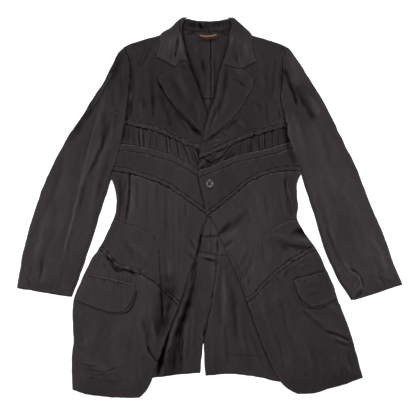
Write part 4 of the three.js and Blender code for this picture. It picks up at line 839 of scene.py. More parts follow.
# Dark cloth with a soft sheen: a fine weave and streaks along the grain, with painted shade in troughs and
# seams and painted highlight on ridges.
weave = {"cloud": 13, "streak": 300, "grain": 620, "mix": 0.35, "bump": 0.35, "bumpDepth": 0.0008}
fabricLook = {"dark": (0.0150, 0.0107, 0.0114), "light": (0.0254, 0.0187, 0.0200), "rough": 0.48,
              "sheen": 0.12, "ridgeHighlight": 1.6, "troughShade": 0.5, "streak": 0.35}


def addNoise(nodes, links, place, scale, detail, stretchAlong, turn):
    turned = nodes.new("ShaderNodeMapping")
    turned.vector_type = "TEXTURE"
    turned.inputs["Rotation"].default_value = (0, 0, turn)
    turned.inputs["Scale"].default_value = (1.0, stretchAlong, 1.0)
    noise = nodes.new("ShaderNodeTexNoise")
    noise.inputs["Scale"].default_value = scale
    noise.inputs["Detail"].default_value = detail
    links.new(place.outputs["Object"], turned.inputs["Vector"])
    links.new(turned.outputs["Vector"], noise.inputs["Vector"])
    return noise


def addRamp(nodes, links, source, low, high, lowColour, highColour):
    ramp = nodes.new("ShaderNodeValToRGB")
    first, last = ramp.color_ramp.elements
    first.position, first.color = low, (*lowColour, 1)
    last.position, last.color = high, (*highColour, 1)
    links.new(source, ramp.inputs["Fac"])
    return ramp.outputs["Color"]


def multiply(nodes, links, first, second, amount=1.0):
    mixer = nodes.new("ShaderNodeMix")
    mixer.data_type = "RGBA"
    mixer.blend_type = "MULTIPLY"
    mixer.inputs["Factor"].default_value = amount
    links.new(first, mixer.inputs["A"])
    links.new(second, mixer.inputs["B"])
    return mixer.outputs["Result"]


def makeFabric(name, look, turn=0.0):
    material, nodes, links, shader = newMaterial(name)
    place = nodes.new("ShaderNodeTexCoord")
    cloud = addNoise(nodes, links, place, weave["cloud"], 4, 2.0, turn)
    streak = addNoise(nodes, links, place, weave["streak"], 3, 2.6, turn)
    grain = addNoise(nodes, links, place, weave["grain"], 2, 1.6, turn)
    colour = addRamp(nodes, links, cloud.outputs["Fac"], 0.35, 0.68, look["dark"], look["light"])
    lines = addRamp(nodes, links, streak.outputs["Fac"], 0.3, 0.7, (0.80, 0.80, 0.80), (1.18, 1.16, 1.16))
    specks = addRamp(nodes, links, grain.outputs["Fac"], 0.3, 0.7, (0.82, 0.82, 0.82), (1.16, 1.15, 1.15))
    colour = multiply(nodes, links, colour, lines, look["streak"])
    colour = multiply(nodes, links, colour, specks)
    # Painted shade and painted highlight: the attribute from the cloth darkens the colour in troughs, creases
    # and seams and lightens it on ridges.
    paintedShade = nodes.new("ShaderNodeAttribute")
    paintedShade.attribute_name = "paintedShade"
    depth = nodes.new("ShaderNodeMapRange")
    depth.inputs["From Min"].default_value = -1.0
    depth.inputs["From Max"].default_value = 3.0
    links.new(paintedShade.outputs["Fac"], depth.inputs["Value"])
    dim = nodes.new("ShaderNodeValToRGB")
    dim.color_ramp.elements[0].color = (*[look["ridgeHighlight"]] * 3, 1)
    dim.color_ramp.elements[1].color = (0.02, 0.02, 0.02, 1)
    for at, value in ((0.25, 1.0), (0.45, look["troughShade"]), (0.62, 0.5 * look["troughShade"]), (0.75, 0.1)):
        stop = dim.color_ramp.elements.new(at)
        stop.color = (value, value, value, 1)
    links.new(depth.outputs["Result"], dim.inputs["Fac"])
    links.new(multiply(nodes, links, colour, dim.outputs["Color"]), shader.inputs["Base Color"])
    # The painted shade also dims the sheen and the specular, so troughs and seams stay dark.
    for socket, most in (("Sheen Weight", look["sheen"]), ("Specular IOR Level", 0.4)):
        less = nodes.new("ShaderNodeMath")
        less.operation = "MULTIPLY"
        less.inputs[1].default_value = most
        links.new(dim.outputs["Color"], less.inputs[0])
        links.new(less.outputs["Value"], shader.inputs[socket])
    shader.inputs["Roughness"].default_value = look["rough"]
    shader.inputs["Sheen Roughness"].default_value = 0.4
    shader.inputs["Sheen Tint"].default_value = (1.0, 0.88, 0.90, 1)
    mixed = nodes.new("ShaderNodeMath")
    mixed.operation = "MULTIPLY_ADD"
    mixed.inputs[1].default_value = weave["mix"]
    links.new(grain.outputs["Fac"], mixed.inputs[0])
    links.new(streak.outputs["Fac"], mixed.inputs[2])
    bump = nodes.new("ShaderNodeBump")
    bump.inputs["Strength"].default_value = weave["bump"]
    bump.inputs["Distance"].default_value = weave["bumpDepth"]
    links.new(mixed.outputs["Value"], bump.inputs["Height"])
    links.new(bump.outputs["Normal"], shader.inputs["Normal"])
    return material


materials = {"fabric": makeFabric("cloth_fabric", fabricLook)}
for side, turn in sleeveTurn.items():
    materials[side] = makeFabric("cloth_" + side, fabricLook, turn)
labelLook = {"dark": (0.15, 0.055, 0.022), "light": (0.34, 0.13, 0.055), "rough": 0.6, "sheen": 0.1,
             "ridgeHighlight": 1.1, "troughShade": 0.7, "streak": 0.5}
materials["label"] = makeFabric("label_ribbon", labelLook)

buttonLook = {"dark": (0.035, 0.030, 0.028), "light": (0.16, 0.15, 0.14), "rough": 0.16, "swirl": 90}
materials["button"], nodes, links, shader = newMaterial("button_plastic")
place, swirl = nodes.new("ShaderNodeTexCoord"), nodes.new("ShaderNodeTexNoise")
swirl.inputs["Scale"].default_value = buttonLook["swirl"]
links.new(place.outputs["Object"], swirl.inputs["Vector"])
tint = addRamp(nodes, links, swirl.outputs["Fac"], 0.0, 1.0, buttonLook["dark"], buttonLook["light"])
links.new(tint, shader.inputs["Base Color"])
shader.inputs["Roughness"].default_value = buttonLook["rough"]
holeLook = {"dark": (0.006, 0.005, 0.005), "light": (0.012, 0.011, 0.011), "rough": 0.8, "sheen": 0.0,
            "ridgeHighlight": 1.0, "troughShade": 1.0, "streak": 0.3}
materials["hole"] = makeFabric("button_thread", holeLook)
threadLook = {"dark": (0.020, 0.0145, 0.0155), "light": (0.040, 0.030, 0.032), "rough": 0.5, "sheen": 0.1,
              "ridgeHighlight": 1.2, "troughShade": 0.8, "streak": 0.5}
materials["thread"] = makeFabric("sewing_thread", threadLook)
dishLook = {"dark": (0.010, 0.009, 0.009), "light": (0.045, 0.042, 0.040), "rough": 0.3, "sheen": 0.0,
            "ridgeHighlight": 1.0, "troughShade": 1.0, "streak": 0.6}
materials["dish"] = makeFabric("button_dish", dishLook)
print("stage: materials")

# The middle edges of both fronts.
rightMiddle = joined(rightRollLine, [(4, 60), (1, -2), (-2, -15)])
leftMiddle = joined(leftRollLine, [(-27, 100), (-26, 72), (-19, 44), (-13, 16), (-9, -10), (-8, -18)])


def frontSeams(yoke, top, foot, leftEdge, rightEdge):
    # Both sides of the three tapes between the yoke and the waist.
    yoke, top, foot = soften(yoke), soften(top), soften(foot)
    return [across(seam, dy, leftEdge, rightEdge) for seam, dy in (
        (yoke, tapeHalf), (yoke, -tapeHalf), (top, bandTape), (top, 0), (foot, tapeHalf), (foot, -tapeHalf))]


# Small gathers between the main ones. Most start at the yoke and the others at the band.
smallGathers = {"gap": 5.5, "shift": 2, "lean": 0.08, "high": (-0.9, 0.6), "wide": (1.4, 2.6), "shorter": 30,
                "fromYoke": 0.6, "upper": (260, 150), "lower": (175, 60)}


def gatherRows(main, low, high, leanAt, seed):
    # Place, lean, height, half width, top and bottom of each gather.
    small = smallGathers
    pick = np.random.default_rng(seed)
    rows = list(main)
    for at in np.arange(low, high, small["gap"]):
        top, bottom = small["upper"] if pick.random() < small["fromYoke"] else small["lower"]
        rows.append((at + pick.uniform(-small["shift"], small["shift"]),
                     leanAt(at) + pick.uniform(-small["lean"], small["lean"]),
                     pick.uniform(*small["high"]), pick.uniform(*small["wide"]),
                     top, bottom + pick.uniform(0, small["shorter"])))
    return rows


def rightLean(at):
    return 0.05 + 0.4 * smooth(-130, -20, at)


def leftLean(at):
    return -0.35 * (1 - smooth(40, 130, at))


rightGathers = gatherRows([
    (-164, 0.05, -2.0, 2.2, 260, 135), (-153, 0.05, -1.9, 2.2, 260, 138), (-146, 0.05, -1.2, 1.8, 260, 150),
    (-132, 0.08, -1.0, 2.0, 240, 140), (-101, 0.12, -2.0, 2.0, 240, 120), (-93, 0.15, -1.4, 1.8, 240, 118),
    (-80, 0.3, -1.8, 2.2, 240, 105), (-66, 0.4, -1.5, 2.2, 230, 100), (-50, 0.45, -1.4, 2.4, 220, 90),
    (-38, 0.45, -1.2, 2.2, 220, 85), (-24, 0.5, -1.4, 2.6, 220, 80),
], -195, -10, rightLean, 21)
leftGathers = gatherRows([
    (95, -0.05, -2.2, 1.9, 240, 105), (116, -0.03, -1.7, 1.8, 240, 118), (129, -0.03, -2.0, 1.8, 240, 120),
    (147, 0, -1.0, 2.0, 240, 130), (163, 0, -0.9, 2.4, 240, 130), (72, -0.2, -1.0, 2.2, 240, 110),
    (20, -0.9, -2.4, 3.0, 175, 60), (32, -0.9, 2.2, 3.2, 175, 60), (40, -0.8, -2.0, 2.6, 170, 60),
    (8, -0.9, 1.8, 3.0, 160, 60), (-2, -0.9, -2.2, 3.0, 160, 60), (52, -0.6, -1.3, 2.4, 190, 80),
], 30, 178, leftLean, 22)


def rightFade(x, y):
    # The right gathers end under the left front.
    return gathers(rightGathers, 160)(x, y) * (1 - smooth(-30, -8, x))


def rightProud(x, y):
    # The right tapes are flat where the left front lies on them.
    return cloth["tapeProud"] * (1 - smooth(-50, -32, x))


def rightHalfProud(x, y):
    return cloth["upperTape"] * rightProud(x, y)


def stripShape(top, bottom, leftEdge, rightEdge):
    return [between(leftEdge, top[0], bottom[0]), between(rightEdge, top[-1], bottom[-1]), top, bottom]


def recolumn(grid, count):
    at = np.linspace(0, grid.shape[1] - 1, count)
    base = np.arange(grid.shape[1])
    return np.stack([np.stack([np.interp(at, base, row[:, k]) for k in (0, 1)], axis=1) for row in grid])


def stacked(upper, lower):
    count = max(upper.shape[1], lower.shape[1])
    return np.concatenate([recolumn(upper, count), recolumn(lower, count)[1:]])


fronts = {"right": {"under": frontUnder, "deep": rightFrontDeep, "long": rightFrontLong},
          "left": {"under": leftUnder, "deep": leftFrontDeep, "long": leftFrontLong}}
tape = {"step": 2.0, "stitches": (("top", 2.4), ("bottom", 2.6))}
stripNodes = {"yoke": "front_yoke", "yoke_ruffle": "yoke_tape", "gathers": "gathered_band",
              "band_top": "band_upper_tape", "band": "flat_band", "band_foot": "band_lower_tape"}


def sewFront(side, name, node, shape, look):
    # A piece of one front, with that front's creases and its own.
    part = fronts[side]
    sew(side + "_" + name, side + "_" + node, part["under"], shape,
        {**look, "deep": part["deep"] + look.get("deep", []), "long": part["long"]})


def sewStrips(side, lines, leftEdge, rightEdge, looks):
    # The strips from the shoulder to the waist, each between two lines.
    for (name, look), top, bottom in zip(looks.items(), lines[:-1], lines[1:]):
        sewFront(side, name, stripNodes[name], stripShape(top, bottom, leftEdge, rightEdge), look)


# Wearer's right front.
arm, bodyEdge, edge = rightEdges["armhole"], rightEdges["side"], rightEdges["front"]
seams = frontSeams(rightYokeSeam, rightBandTop, rightBandFoot, arm, rightMiddle)
sewStrips("right", [rightEdges["shoulder"]] + seams, arm, rightMiddle, {
    "yoke": {"creases": rightFrontCreases, "roll": (2.2, 0.3, 0.6, 1.0), "pucker": (0.25, 0, 0.1, 0.5),
             "line": (0.3, 0.6, 0.4, 0.15), "pieceShade": 0.42},
    "yoke_ruffle": {"proud": rightProud, "roll": (1.2, 0, 0.5, 2.2), "pucker": (0, 0, 0.35, 0.6),
                    "line": (0.3, 0.3, 0.1, 1.5), "pieceShade": 0.28, "deep": rightGatherDeep, **tape},
    "gathers": {"extra": rightFade, "roll": (1.2, 0.3, 0.2, 0.6), "pucker": (0, 0, 0, 0.3), "step": 1.8,
                "line": (0.8, 0.4, 1.3, 0.8), "pieceShade": 0.25, "deep": rightGatherDeep + gatherDeep},
    "band_top": {"proud": rightHalfProud, "roll": (1.0, 0, 0.9, 0.9), "pucker": (0, 0, 0.25, 0.25),
                 "line": (0.4, 0.5, 0.2, 0.4), "pieceShade": 0.15, "step": 2.2, "stitches": (("bottom", 2.4),)},
    "band": {"creases": rightFrontCreases, "roll": (1.0, 0.3, 0.8, 0.9), "pucker": (0, 0, 0.3, 0.3),
             "pieceShade": 0.2},
    "band_foot": {"proud": rightProud, "roll": (1.0, 0, 0.4, 2.2), "pucker": (0, 0, 0.25, 0.35),
                  "line": (0.5, 0.3, 0.3, 1.2), "pieceShade": 0.15, **tape},
})

sideTop, frontTop = partedAt(seams[-1], -185)
princess = joined([sideTop[-1]], soften(rightPrincess)[2:])
hipTop = joined([atHeight(bodyEdge, -26)], soften(curve(rightHipSeam)[1:]))
hipSplit = int(np.argmin(np.abs(hipTop[:, 0] + 197)))
bodySide = joined(arm[-6:], bodyEdge)
high = across(soften(rightSkirtSeam), tapeHalf, bodyEdge, edge)
low = across(soften(rightSkirtSeam), -tapeHalf, bodyEdge, edge)
hipFoot, frontFoot = partedAt(high, -114)
dart = joined(soften(rightHipDart)[:-1], [frontFoot[0]])
frontTurn = atHeight(edge, turnY)
sewFront("right", "side", "side_panel",
         [between(bodySide, sideTop[0], hipTop[0]), princess, sideTop, hipTop[:hipSplit + 1]],
         {"creases": rightFrontCreases, "roll": (1.2, 0.5, 1.0, 0.8), "pucker": (0, 0.25, 0.3, 0.5),
          "line": (0.3, 0.3, 0.8, 0.3), "pieceShade": 0.25})
upper = coons(princess, between(edge, frontTop[-1], frontTurn), frontTop, None)
lower = coons(joined(hipTop[hipSplit:], dart), between(edge, frontTurn, frontFoot[-1]), None, frontFoot)
sewFront("right", "front", "front_panel", stacked(upper, lower),
         {"creases": rightFrontCreases, "roll": (0.6, 1.0, 1.0, 0.8), "pucker": (0.3, 0, 0.3, 0.4),
          "line": (0.3, 0.5, 0.8, 0.5)})
sewFront("right", "hip", "hip_panel", [between(bodyEdge, hipTop[0], hipFoot[0]), dart, hipTop, hipFoot],
         {"creases": rightFrontCreases, "roll": (1.2, 0.6, 0.8, 0.8), "pucker": (0, 0.2, 0.5, 0.4),
          "line": (0.3, 0.15, 0.3, 0.5), "pieceShade": 0.12})
bunches = [
    (-222, -118, -212, -136, 2, -0.8, 3), (-212, -128, -198, -146, 1, -0.8, 3),
    (-200, -138, -188, -152, 1, 0.7, 3), (-186, -142, -176, -158, 0, -0.8, 3),
    (-232, -108, -222, -124, 0, -0.6, 3), (-166, -146, -160, -162, 0, -0.6, 3),
    (-150, -152, -142, -170, 0, -0.5, 3),
]
sewFront("right", "skirt_seam", "skirt_tape", stripShape(high, low, bodyEdge, edge),
         {"creases": bunches, "proud": 1.1, "roll": (1.0, 1.0, 0.6, 1.0), "pucker": (0, 0, 0.4, 0.6),
          "line": (0.3, 0.3, 0.6, 0.35), **tape})
sewFront("right", "skirt", "front_skirt", stripShape(low, rightEdges["hem"], bodyEdge, edge),
         {"creases": rightFrontCreases + bunches, "roll": (1.2, 1.4, 0.8, 1.2), "pucker": (0, 0.2, 0.6, 0.1),
          "step": 2.0, "stitches": (("bottom", 24),)})
sew("right_flap", "right_pocket_flap", onRight,
    [np.vstack([curve(rightFlapTop)[0], curve(rightFlapBottom)[0]]), soften(rightFlapRight),
     soften(rightFlapTop), soften(rightFlapBottom)],
    {"creases": rightFrontCreases, "deep": rightFlapDeep, "long": rightFlapLong, "proud": 1.5,
     "roll": (1.2, 2.2, 0.4, 2.2), "pucker": (0, 0.1, 0.6, 0.1), "line": (0, -0.5, -0.7, -0.4), "step": 2.0,
     "stitches": (("right", 5), ("bottom", 5))})
sew("right_facing", "right_front_facing", onBack, [soften(facingOuter), soften(facingInner)],
    {"deep": facingDeep, "long": facingLong + backLong, "proud": 1.2, "roll": (1.0, 2.0, 0.5, 0.3),
     "pucker": (0.1, 0.2, 0, 0), "line": (1.0, 0.3, 0.3, 0), "pieceShade": 0.85})
sew("right_lapel_cloth", "right_lapel", onRight,
    [pointed(rightLapelOuter), soften(rightLapelRoll),
     np.vstack([curve(rightLapelOuter)[0], (-67, 341), curve(rightLapelRoll)[0]]), None],
    {"creases": lapelCreases, "deep": lapelDeep, "proud": 1.2, "roll": (1.6, 1.2, 0.2, 0.8),
     "pucker": (0.15, 0, 0.1, 0), "line": (-0.6, 0.2, 0.1, -0.3), "pieceShade": 0.5})
sew("right_collar", "right_collar_fall", onRight,
    [soften(rightCollarOuter), soften(rightCollarInner), None, curve(rightCollarBottom)],
    {"creases": lapelCreases, "deep": lapelDeep, "proud": 1.4, "roll": (1.6, 1.4, 0.8, 0.7),
     "pucker": (0.15, 0.1, 0, 0.1), "line": (-0.5, 0.1, 0, 0.3), "stitches": (("left", 4),)})
print("stage: right front")

# Wearer's left front, over the right one.
arm, bodyEdge, edge = leftEdges["armhole"], leftEdges["side"], leftEdges["front"]
proud = cloth["tapeProud"]
seams = frontSeams(leftYokeSeam, leftBandTop, leftBandFoot, leftMiddle, arm)
sewStrips("left", [leftEdges["shoulder"]] + seams, leftMiddle, arm, {
    "yoke": {"creases": leftFrontCreases, "roll": (0.4, 2.2, 0.6, 1.0), "pucker": (0, 0.25, 0.1, 0.5),
             "line": (0.6, 0.35, 0.4, 0.15), "pieceShade": 0.28},
    "yoke_ruffle": {"proud": proud, "roll": (1.2, 1.2, 0.5, 2.2), "pucker": (0, 0, 0.35, 0.6),
                    "line": (0.3, 0.3, 0.1, 1.5), "pieceShade": 0.28, **tape},
    "gathers": {"extra": gathers(leftGathers, 130), "roll": (1.2, 1.2, 0.2, 0.6), "pucker": (0, 0, 0, 0.3),
                "step": 1.8, "line": (0.8, 0.8, 1.3, 0.8), "pieceShade": 0.5, "deep": leftGatherDeep + gatherDeep},
    "band_top": {"proud": cloth["upperTape"] * proud, "roll": (1.0, 1.0, 0.9, 0.9),
                 "pucker": (0, 0, 0.25, 0.25), "line": (0.5, 0.4, 0.2, 0.4), "pieceShade": 0.15, "step": 2.2,
                 "stitches": (("bottom", 2.4),)},
    "band": {"creases": leftFrontCreases, "roll": (1.6, 1.0, 0.8, 0.9), "pucker": (0, 0, 0.3, 0.3),
             "pieceShade": 0.2},
    "band_foot": {"proud": proud, "roll": (1.0, 1.0, 0.4, 2.2), "pucker": (0, 0, 0.25, 0.35),
                  "line": (0.5, 0.5, 0.3, 1.2), "pieceShade": 0.2, **tape},
})

frontTop, sideTop = partedAt(seams[-1], 180)
princess = joined([sideTop[0]], soften(leftPrincess)[2:])
hipTop = joined(soften(curve(leftHipSeam)[:-1]), [atHeight(bodyEdge, -27)])
hipSplit = int(np.argmin(np.abs(hipTop[:, 0] - 186)))
bodySide = joined(arm[-6:], bodyEdge)
high = across(soften(leftSkirtSeam), tapeHalf, edge, bodyEdge)
low = across(soften(leftSkirtSeam), -tapeHalf, edge, bodyEdge)
frontFoot, hipFoot = partedAt(high, 122)
dart = joined(soften(leftHipDart)[:-1], [hipFoot[0]])
frontTurn = atHeight(edge, turnY)
sewFront("left", "side", "side_panel",
         [princess, between(bodySide, sideTop[-1], hipTop[-1]), sideTop, hipTop[hipSplit:]],
         {"creases": leftFrontCreases, "roll": (0.5, 1.2, 1.0, 0.8), "pucker": (0.25, 0, 0.3, 0.4),
          "line": (0.3, 0.3, 0.8, 0.3), "pieceShade": 0.1})
upper = coons(between(edge, frontTop[0], frontTurn), princess, frontTop, None)
lower = coons(between(edge, frontTurn, frontFoot[0]), joined(hipTop[:hipSplit + 1][::-1], dart), None,
              frontFoot)
sewFront("left", "front", "front_panel", stacked(upper, lower),
         {"creases": leftFrontCreases, "roll": (1.4, 0.5, 1.0, 0.8), "pucker": (0, 0.2, 0.3, 0.4),
          "line": (0.5, 0.3, 0.8, 0.5)})
sewFront("left", "hip", "hip_panel", [dart, between(bodyEdge, hipTop[-1], hipFoot[-1]), hipTop, hipFoot],
         {"creases": leftFrontCreases, "roll": (0.6, 1.2, 0.8, 0.8), "pucker": (0.2, 0, 0.4, 0.4),
          "line": (0.15, 0.3, 0.3, 0.5)})
bunches = [
    (176, -132, 170, -150, 0, -0.5, 3), (188, -124, 184, -140, 1, 0.5, 3),
    (200, -116, 196, -132, 0, -0.6, 3), (212, -108, 208, -126, 0, -0.5, 3),
    (150, -150, 142, -168, 0, -0.4, 3),
]
sewFront("left", "skirt_seam", "skirt_tape", stripShape(high, low, edge, bodyEdge),
         {"creases": bunches, "proud": 0.9, "roll": (1.0, 1.0, 0.6, 0.9), "pucker": (0, 0, 0.4, 0.6),
          "line": (0.3, 0.3, 0.6, 0.2), **tape})
sewFront("left", "skirt", "front_skirt", stripShape(low, leftEdges["hem"], edge, bodyEdge),
         {"creases": leftFrontCreases + bunches, "roll": (1.5, 1.2, 0.8, 1.2), "pucker": (0.1, 0, 0.6, 0.1),
          "pieceShade": 0.15, "step": 2.0, "stitches": (("bottom", 24), ("left", 5))})
sew("left_flap", "left_pocket_flap", onLeft,
    [soften(leftFlapLeft), np.vstack([curve(leftFlapTop)[-1], curve(leftFlapBottom)[-1]]),
     soften(leftFlapTop), soften(leftFlapBottom)],
    {"creases": leftFrontCreases, "deep": leftFlapDeep, "proud": 1.5, "roll": (2.2, 1.2, 0.4, 2.2),
     "pucker": (0.1, 0, 0.6, 0.1), "line": (-0.7, 0, -0.2, -0.5), "pieceShade": 0.12, "step": 2.0,
     "stitches": (("left", 5), ("bottom", 5))})
sew("left_lapel_cloth", "left_lapel", onLeft,
    [soften(leftLapelRoll), pointed(leftLapelOuter),
     np.vstack([curve(leftLapelRoll)[0], (53, 327), curve(leftLapelOuter)[0]]), None],
    {"creases": lapelCreases, "deep": lapelDeep, "proud": 1.2, "roll": (1.2, 1.6, 0.2, 0.8),
     "pucker": (0, 0.15, 0.1, 0), "line": (0.2, -0.6, 0.1, -0.3), "pieceShade": 0.25})
sew("left_collar", "left_collar_fall", onLeft,
    [soften(leftCollarInner), soften(leftCollarOuter), None, curve(leftCollarBottom)],
    {"creases": lapelCreases, "deep": lapelDeep, "proud": 1.4, "roll": (1.4, 1.6, 0.8, 0.7),
     "pucker": (0.1, 0.15, 0, 0.1), "line": (0.1, -0.5, 0, 0.3), "pieceShade": 0.05, "stitches": (("right", 4),)})
print("stage: left front")


# Sleeves. The shade follows the turn of the upper arm.
def rightSleeveShade(x, y):
    return 0.32 * smooth(170, 300, y) - 0.06 * smooth(-60, -160, y)


def leftSleeveShade(x, y):
    inner = 0.42 * smooth(150, 230, y) * (1 - smooth(230, 262, x))
    return inner - 0.28 - 0.6 * smooth(275, 312, y) * smooth(180, 200, x)


rightBody = joined(rightEdges["armhole"], rightEdges["inner"])
leftBody = joined(leftEdges["armhole"], leftEdges["inner"])
sleeve = {"creases": sleeveCreases, "deep": sleeveDeep, "long": sleeveLong, "stitches": (("bottom", 26),)}
sew("right_sleeve", "right_sleeve_top", frontUnder, [rightEdges["outer"], rightBody],
    {**sleeve, "roll": (1.4, 0.4, 0.5, 1.2), "pucker": (0.1, 0.3, 0, 0.1), "grain": "rightSleeve",
     "pieceShade": rightSleeveShade})
sew("left_sleeve", "left_sleeve_top", frontUnder, [leftBody, leftEdges["outer"]],
    {**sleeve, "roll": (0.4, 1.4, 0.5, 1.2), "pucker": (0.3, 0.1, 0, 0.1), "grain": "leftSleeve",
     "pieceShade": leftSleeveShade})
tuck = (6.0, 0.0)  # how far the under panels go in below the body
for side, shape in (("right", [rightEdges["outer"], rightBody + tuck]),
                    ("left", [leftBody - tuck, leftEdges["outer"]])):
    sew(side + "_sleeve_back", side + "_sleeve_under", onFloor, shape, {"step": mesh["hidden"], "waves": 0})


# Back.
def path(*points):
    return np.array(points, float)


backTop, yokeFoot, bodyFoot, centreTop = (3, 411), (3, 257), (3, -66), (17, -110.4)
tabRight, tabLeft = path((-20, -66), (-20, -103)), path((20, -66), (20, -111))
rightBackSide = joined(rightEdges["armhole"], rightEdges["side"])
leftBackSide = joined(leftEdges["armhole"], leftEdges["side"])
neck = {"creases": neckCreases, "deep": neckDeep, "step": 4}
sew("right_back_yoke_cloth", "right_back_yoke", onFloor,
    [stretch(rightBackSide, 378, 257), path(backTop, yokeFoot),
     joined(rightEdges["shoulder"], path((-58, 416), (-29, 412), backTop)), None],
    {**neck, "long": neckLong, "roll": (0.3, 0.8, 0.4, 0.8), "pucker": (0, 0.2, 0, 0.3), "pieceShade": 0.35})
sew("left_back_yoke_cloth", "left_back_yoke", onFloor,
    [path(backTop, yokeFoot), stretch(leftBackSide, 375, 257),
     joined(path(backTop, (25, 412), (48, 416)), leftEdges["shoulder"]), None],
    {**neck, "long": neckLong, "roll": (0.8, 0.3, 0.4, 0.8), "pucker": (0.2, 0, 0, 0.3), "pieceShade": 0.35})
sew("right_back_cloth", "right_back_body", onFloor,
    [stretch(rightBackSide, 257, -66), path(yokeFoot, bodyFoot)],
    {**neck, "long": neckLong + backLong, "roll": (0.3, 0.6, 0.6, 0.6)})
sew("left_back_cloth", "left_back_body", onFloor,
    [path(yokeFoot, bodyFoot), stretch(leftBackSide, 257, -66)],
    {**neck, "long": neckLong + backLong, "roll": (0.6, 0.3, 0.6, 0.6)})
belt = {"deep": backDeep, "long": backLong}
sew("right_back_belt", "right_back_band", onFloor, [stretch(rightEdges["side"], -66, -103), tabRight], belt)
sew("back_tab", "back_band_tab", onFloor, [tabRight, tabLeft],
    {**belt, "creases": backCreases, "roll": (1, 1, 1, 1), "pucker": (0.2, 0.2, 0.2, 0.2), "pieceShade": 0.15,
     "line": (0.6, 0.2, 0.6, 0.6), "stitches": [(side, 2.6) for side in ("top", "bottom", "left", "right")]})
sew("left_back_belt", "left_back_band", onFloor, [tabLeft, stretch(leftEdges["side"], -66, -111)],
    {**belt, "line": (0.1, 0.3, 0.2, 0.3)})
centre = soften(centreBack)
sew("right_back_skirt_cloth", "right_back_skirt", onFloor,
    [stretch(rightEdges["side"], -103, -412), joined([centreTop], centre[1:], soften(ventRight)),
     np.vstack([atHeight(rightEdges["side"], -103), tabRight[1], centreTop]),
     joined([atHeight(rightEdges["side"], -412)], soften(rightBackHem)[1:])],
    {"creases": backCreases, "deep": backDeep + facingDeep, "long": backLong + facingLong, "step": 3.4,
     "roll": (0.3, 1.0, 0.8, 1.0), "pucker": (0, 0.2, 0.3, 0.1), "pieceShade": 0.15,
     "stitches": (("bottom", 44), ("right", 6))})
sew("left_back_skirt_cloth", "left_back_skirt", onFloor,
    [joined([centreTop], centre[1:], soften(ventLeft)), stretch(leftEdges["side"], -111, -389),
     np.vstack([centreTop, tabLeft[1], atHeight(leftEdges["side"], -111)]),
     joined(soften(leftBackHem)[:-1], [atHeight(leftEdges["side"], -389)])],
    {"creases": backCreases, **belt, "step": 3.4, "roll": (1.0, 0.3, 0.8, 1.0), "pucker": (0.2, 0, 0.3, 0.1),
     "pieceShade": 0.2, "stitches": (("bottom", 44), ("left", 6))})
top, bottom = curve(standTop), curve(standBottom)
sew("stand", "collar_stand", onFloor,
    [np.vstack([top[0], bottom[0]]), np.vstack([top[-1], bottom[-1]]), top, bottom],
    {**neck, "long": neckLong, "step": mesh["step"], "roll": (0.5, 0.5, 1.2, 0.8), "pucker": (0, 0, 0.4, 0.5),
     "pieceShade": 0.7})
print("stage: back")

# Hanger loop, and the plain ribbon that lies on it.
loop = {"half": 2.5, "step": 1.6, "waves": 0.3}
top, bottom = soften(loopLine) + (0, loop["half"]), soften(loopLine) - (0, loop["half"])
sew("loop", "hanger_loop", onBack,
    [np.vstack([top[0], bottom[0]]), np.vstack([top[-1], bottom[-1]]), top, bottom],
    {"step": loop["step"], "waves": loop["waves"]})
ribbon = {"above": 1.5, "high": 4.2, "shell": 0.8, "roll": 0.3}


def onLoop(x, y):
    return onBack(x, y) + ribbon["above"]


top = path((-22.5, 406.2), (-11, 403.7), (3, 403.7), (16.5, 407.2))
bottom = top - (0, ribbon["high"])
sew("ribbon", "neck_label", onLoop, [path(top[0], bottom[0]), path(top[-1], bottom[-1]), top, bottom],
    {"step": loop["step"], "slot": "label", "waves": loop["waves"], "shell": ribbon["shell"],
     "roll": (ribbon["roll"],) * 4, "line": (0, 0, 0, 0)})

# Button: a turned disc with a raised rim, a dished middle and four holes with thread. radius and high
# are the outline from the middle of the top round the rim to the underside.
buttonSize = {"x": 1, "y": 56, "above": 0.4, "steps": 40, "hole": 1.15, "taper": 0.7, "spread": 2.1,
              "dished": 4.7, "holeTop": 1.93, "holeDeep": 0.4}
buttonLine = {"radius": [0.01, 2.0, 4.6, 5.6, 6.6, 7.6, 8.7, 9.3, 9.4, 9.0, 8.0, 0.01],
              "high": [1.9, 1.9, 1.9, 2.3, 3.1, 3.2, 2.9, 2.2, 1.4, 0.5, 0.0, 0.0]}
bm = bmesh.new()
ring = [bm.verts.new((r * 0.001, 0, h * 0.001)) for r, h in zip(buttonLine["radius"], buttonLine["high"])]
rim = [bm.edges.new((a, b)) for a, b in zip(ring[:-1], ring[1:])]
bmesh.ops.spin(bm, geom=ring + rim, cent=(0, 0, 0), axis=(0, 0, 1), angle=2 * np.pi,
               steps=buttonSize["steps"], use_merge=True)
bmesh.ops.remove_doubles(bm, verts=bm.verts, dist=1e-5)
bmesh.ops.recalc_face_normals(bm, faces=bm.faces)
for face in bm.faces:
    if all(vert.co.xy.length < buttonSize["dished"] * 0.001 and vert.co.z > 0.001 for vert in face.verts):
        face.material_index = 2
for number in range(4):
    turn = np.pi / 4 + number * np.pi / 2
    spot = Vector((np.cos(turn), np.sin(turn), 0)) * buttonSize["spread"] * 0.001
    made = bmesh.ops.create_cone(bm, cap_ends=True, segments=14, radius1=buttonSize["hole"] * 0.001,
                                 radius2=buttonSize["hole"] * buttonSize["taper"] * 0.001,
                                 depth=buttonSize["holeDeep"] * 0.001)
    bmesh.ops.translate(bm, verts=made["verts"], vec=spot + Vector((0, 0, buttonSize["holeTop"] * 0.001)))
    for face in {face for vert in made["verts"] for face in vert.link_faces}:
        face.material_index = 1
x, y = buttonSize["x"], buttonSize["y"]
base = float(leftUnder(np.array([x], float), np.array([y], float))[0]) + cloth["wall"] + buttonSize["above"]
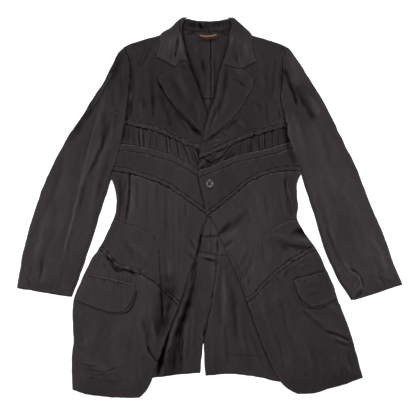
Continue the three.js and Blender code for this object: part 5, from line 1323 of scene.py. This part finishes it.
bmesh.ops.translate(bm, verts=bm.verts, vec=Vector((x + offset[0], y + offset[1], base)) * 0.001)
button = addObject("button", bm, "button", "hole", "dish")
print("stage: button")

# Floor, light and camera.
floorLook = {"size": 20, "below": 0.0002, "white": (0.92, 0.92, 0.92, 1), "glow": 0.75}
materials["floor"], nodes, links, shader = newMaterial("floor_white")
shader.inputs["Base Color"].default_value = floorLook["white"]
shader.inputs["Roughness"].default_value = 0.9
shader.inputs["Emission Color"].default_value = (1, 1, 1, 1)
shader.inputs["Emission Strength"].default_value = floorLook["glow"]
bm = bmesh.new()
bmesh.ops.create_grid(bm, x_segments=1, y_segments=1, size=floorLook["size"])
floor = addObject("floor", bm, "floor")
floor.location.z = -floorLook["below"]

lamps = {"key": {"place": (-0.3, 3.6, 2.3), "size": 1.2, "power": 112},
         "left": {"place": (-1.7, -0.1, 1.25), "size": 0.8, "power": 10},
         "right": {"place": (1.7, -0.1, 1.25), "size": 0.8, "power": 10},
         "over": {"place": (-0.12, -0.18, 1.0), "size": 0.7, "power": 1.2}}
for name, lamp in lamps.items():
    light = bpy.data.lights.new(name, "AREA")
    light.shape = "DISK"
    light.size = lamp["size"]
    light.energy = lamp["power"]
    holder = bpy.data.objects.new(name, light)
    holder.location = lamp["place"]
    holder.rotation_euler = (-Vector(lamp["place"])).to_track_quat("-Z", "Y").to_euler()
    bpy.context.scene.collection.objects.link(holder)
world = bpy.data.worlds.new("studio")
world.use_nodes = True
world.node_tree.nodes["Background"].inputs["Color"].default_value = (1, 1, 1, 1)
world.node_tree.nodes["Background"].inputs["Strength"].default_value = 0.22
bpy.context.scene.world = world
bpy.context.scene.view_settings.view_transform = "Standard"

# The middle of the picture in mm, measured as the seams are, and what the camera takes in.
lens = {"x": -3.055, "y": -0.94, "distance": 3.4, "across": 0.9776, "sensor": 36}
camera = bpy.data.objects.new("camera", bpy.data.cameras.new("camera"))
camera.data.sensor_width = lens["sensor"]
camera.data.lens = lens["sensor"] * lens["distance"] / lens["across"]
camera.location = ((lens["x"] + offset[0]) * 0.001, (lens["y"] + offset[1]) * 0.001, lens["distance"])
bpy.context.scene.collection.objects.link(camera)
bpy.context.scene.camera = camera
print("stage: light and camera")

# Every sheet, its stitches and the button go under one body, and the solids they stand for are hidden.
for row in pieces:
    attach(row["piece"], "root")
    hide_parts(row["node"])
    for thread in row["sewn"]:
        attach(thread, "root")
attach(button, "root")
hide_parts("front_button")
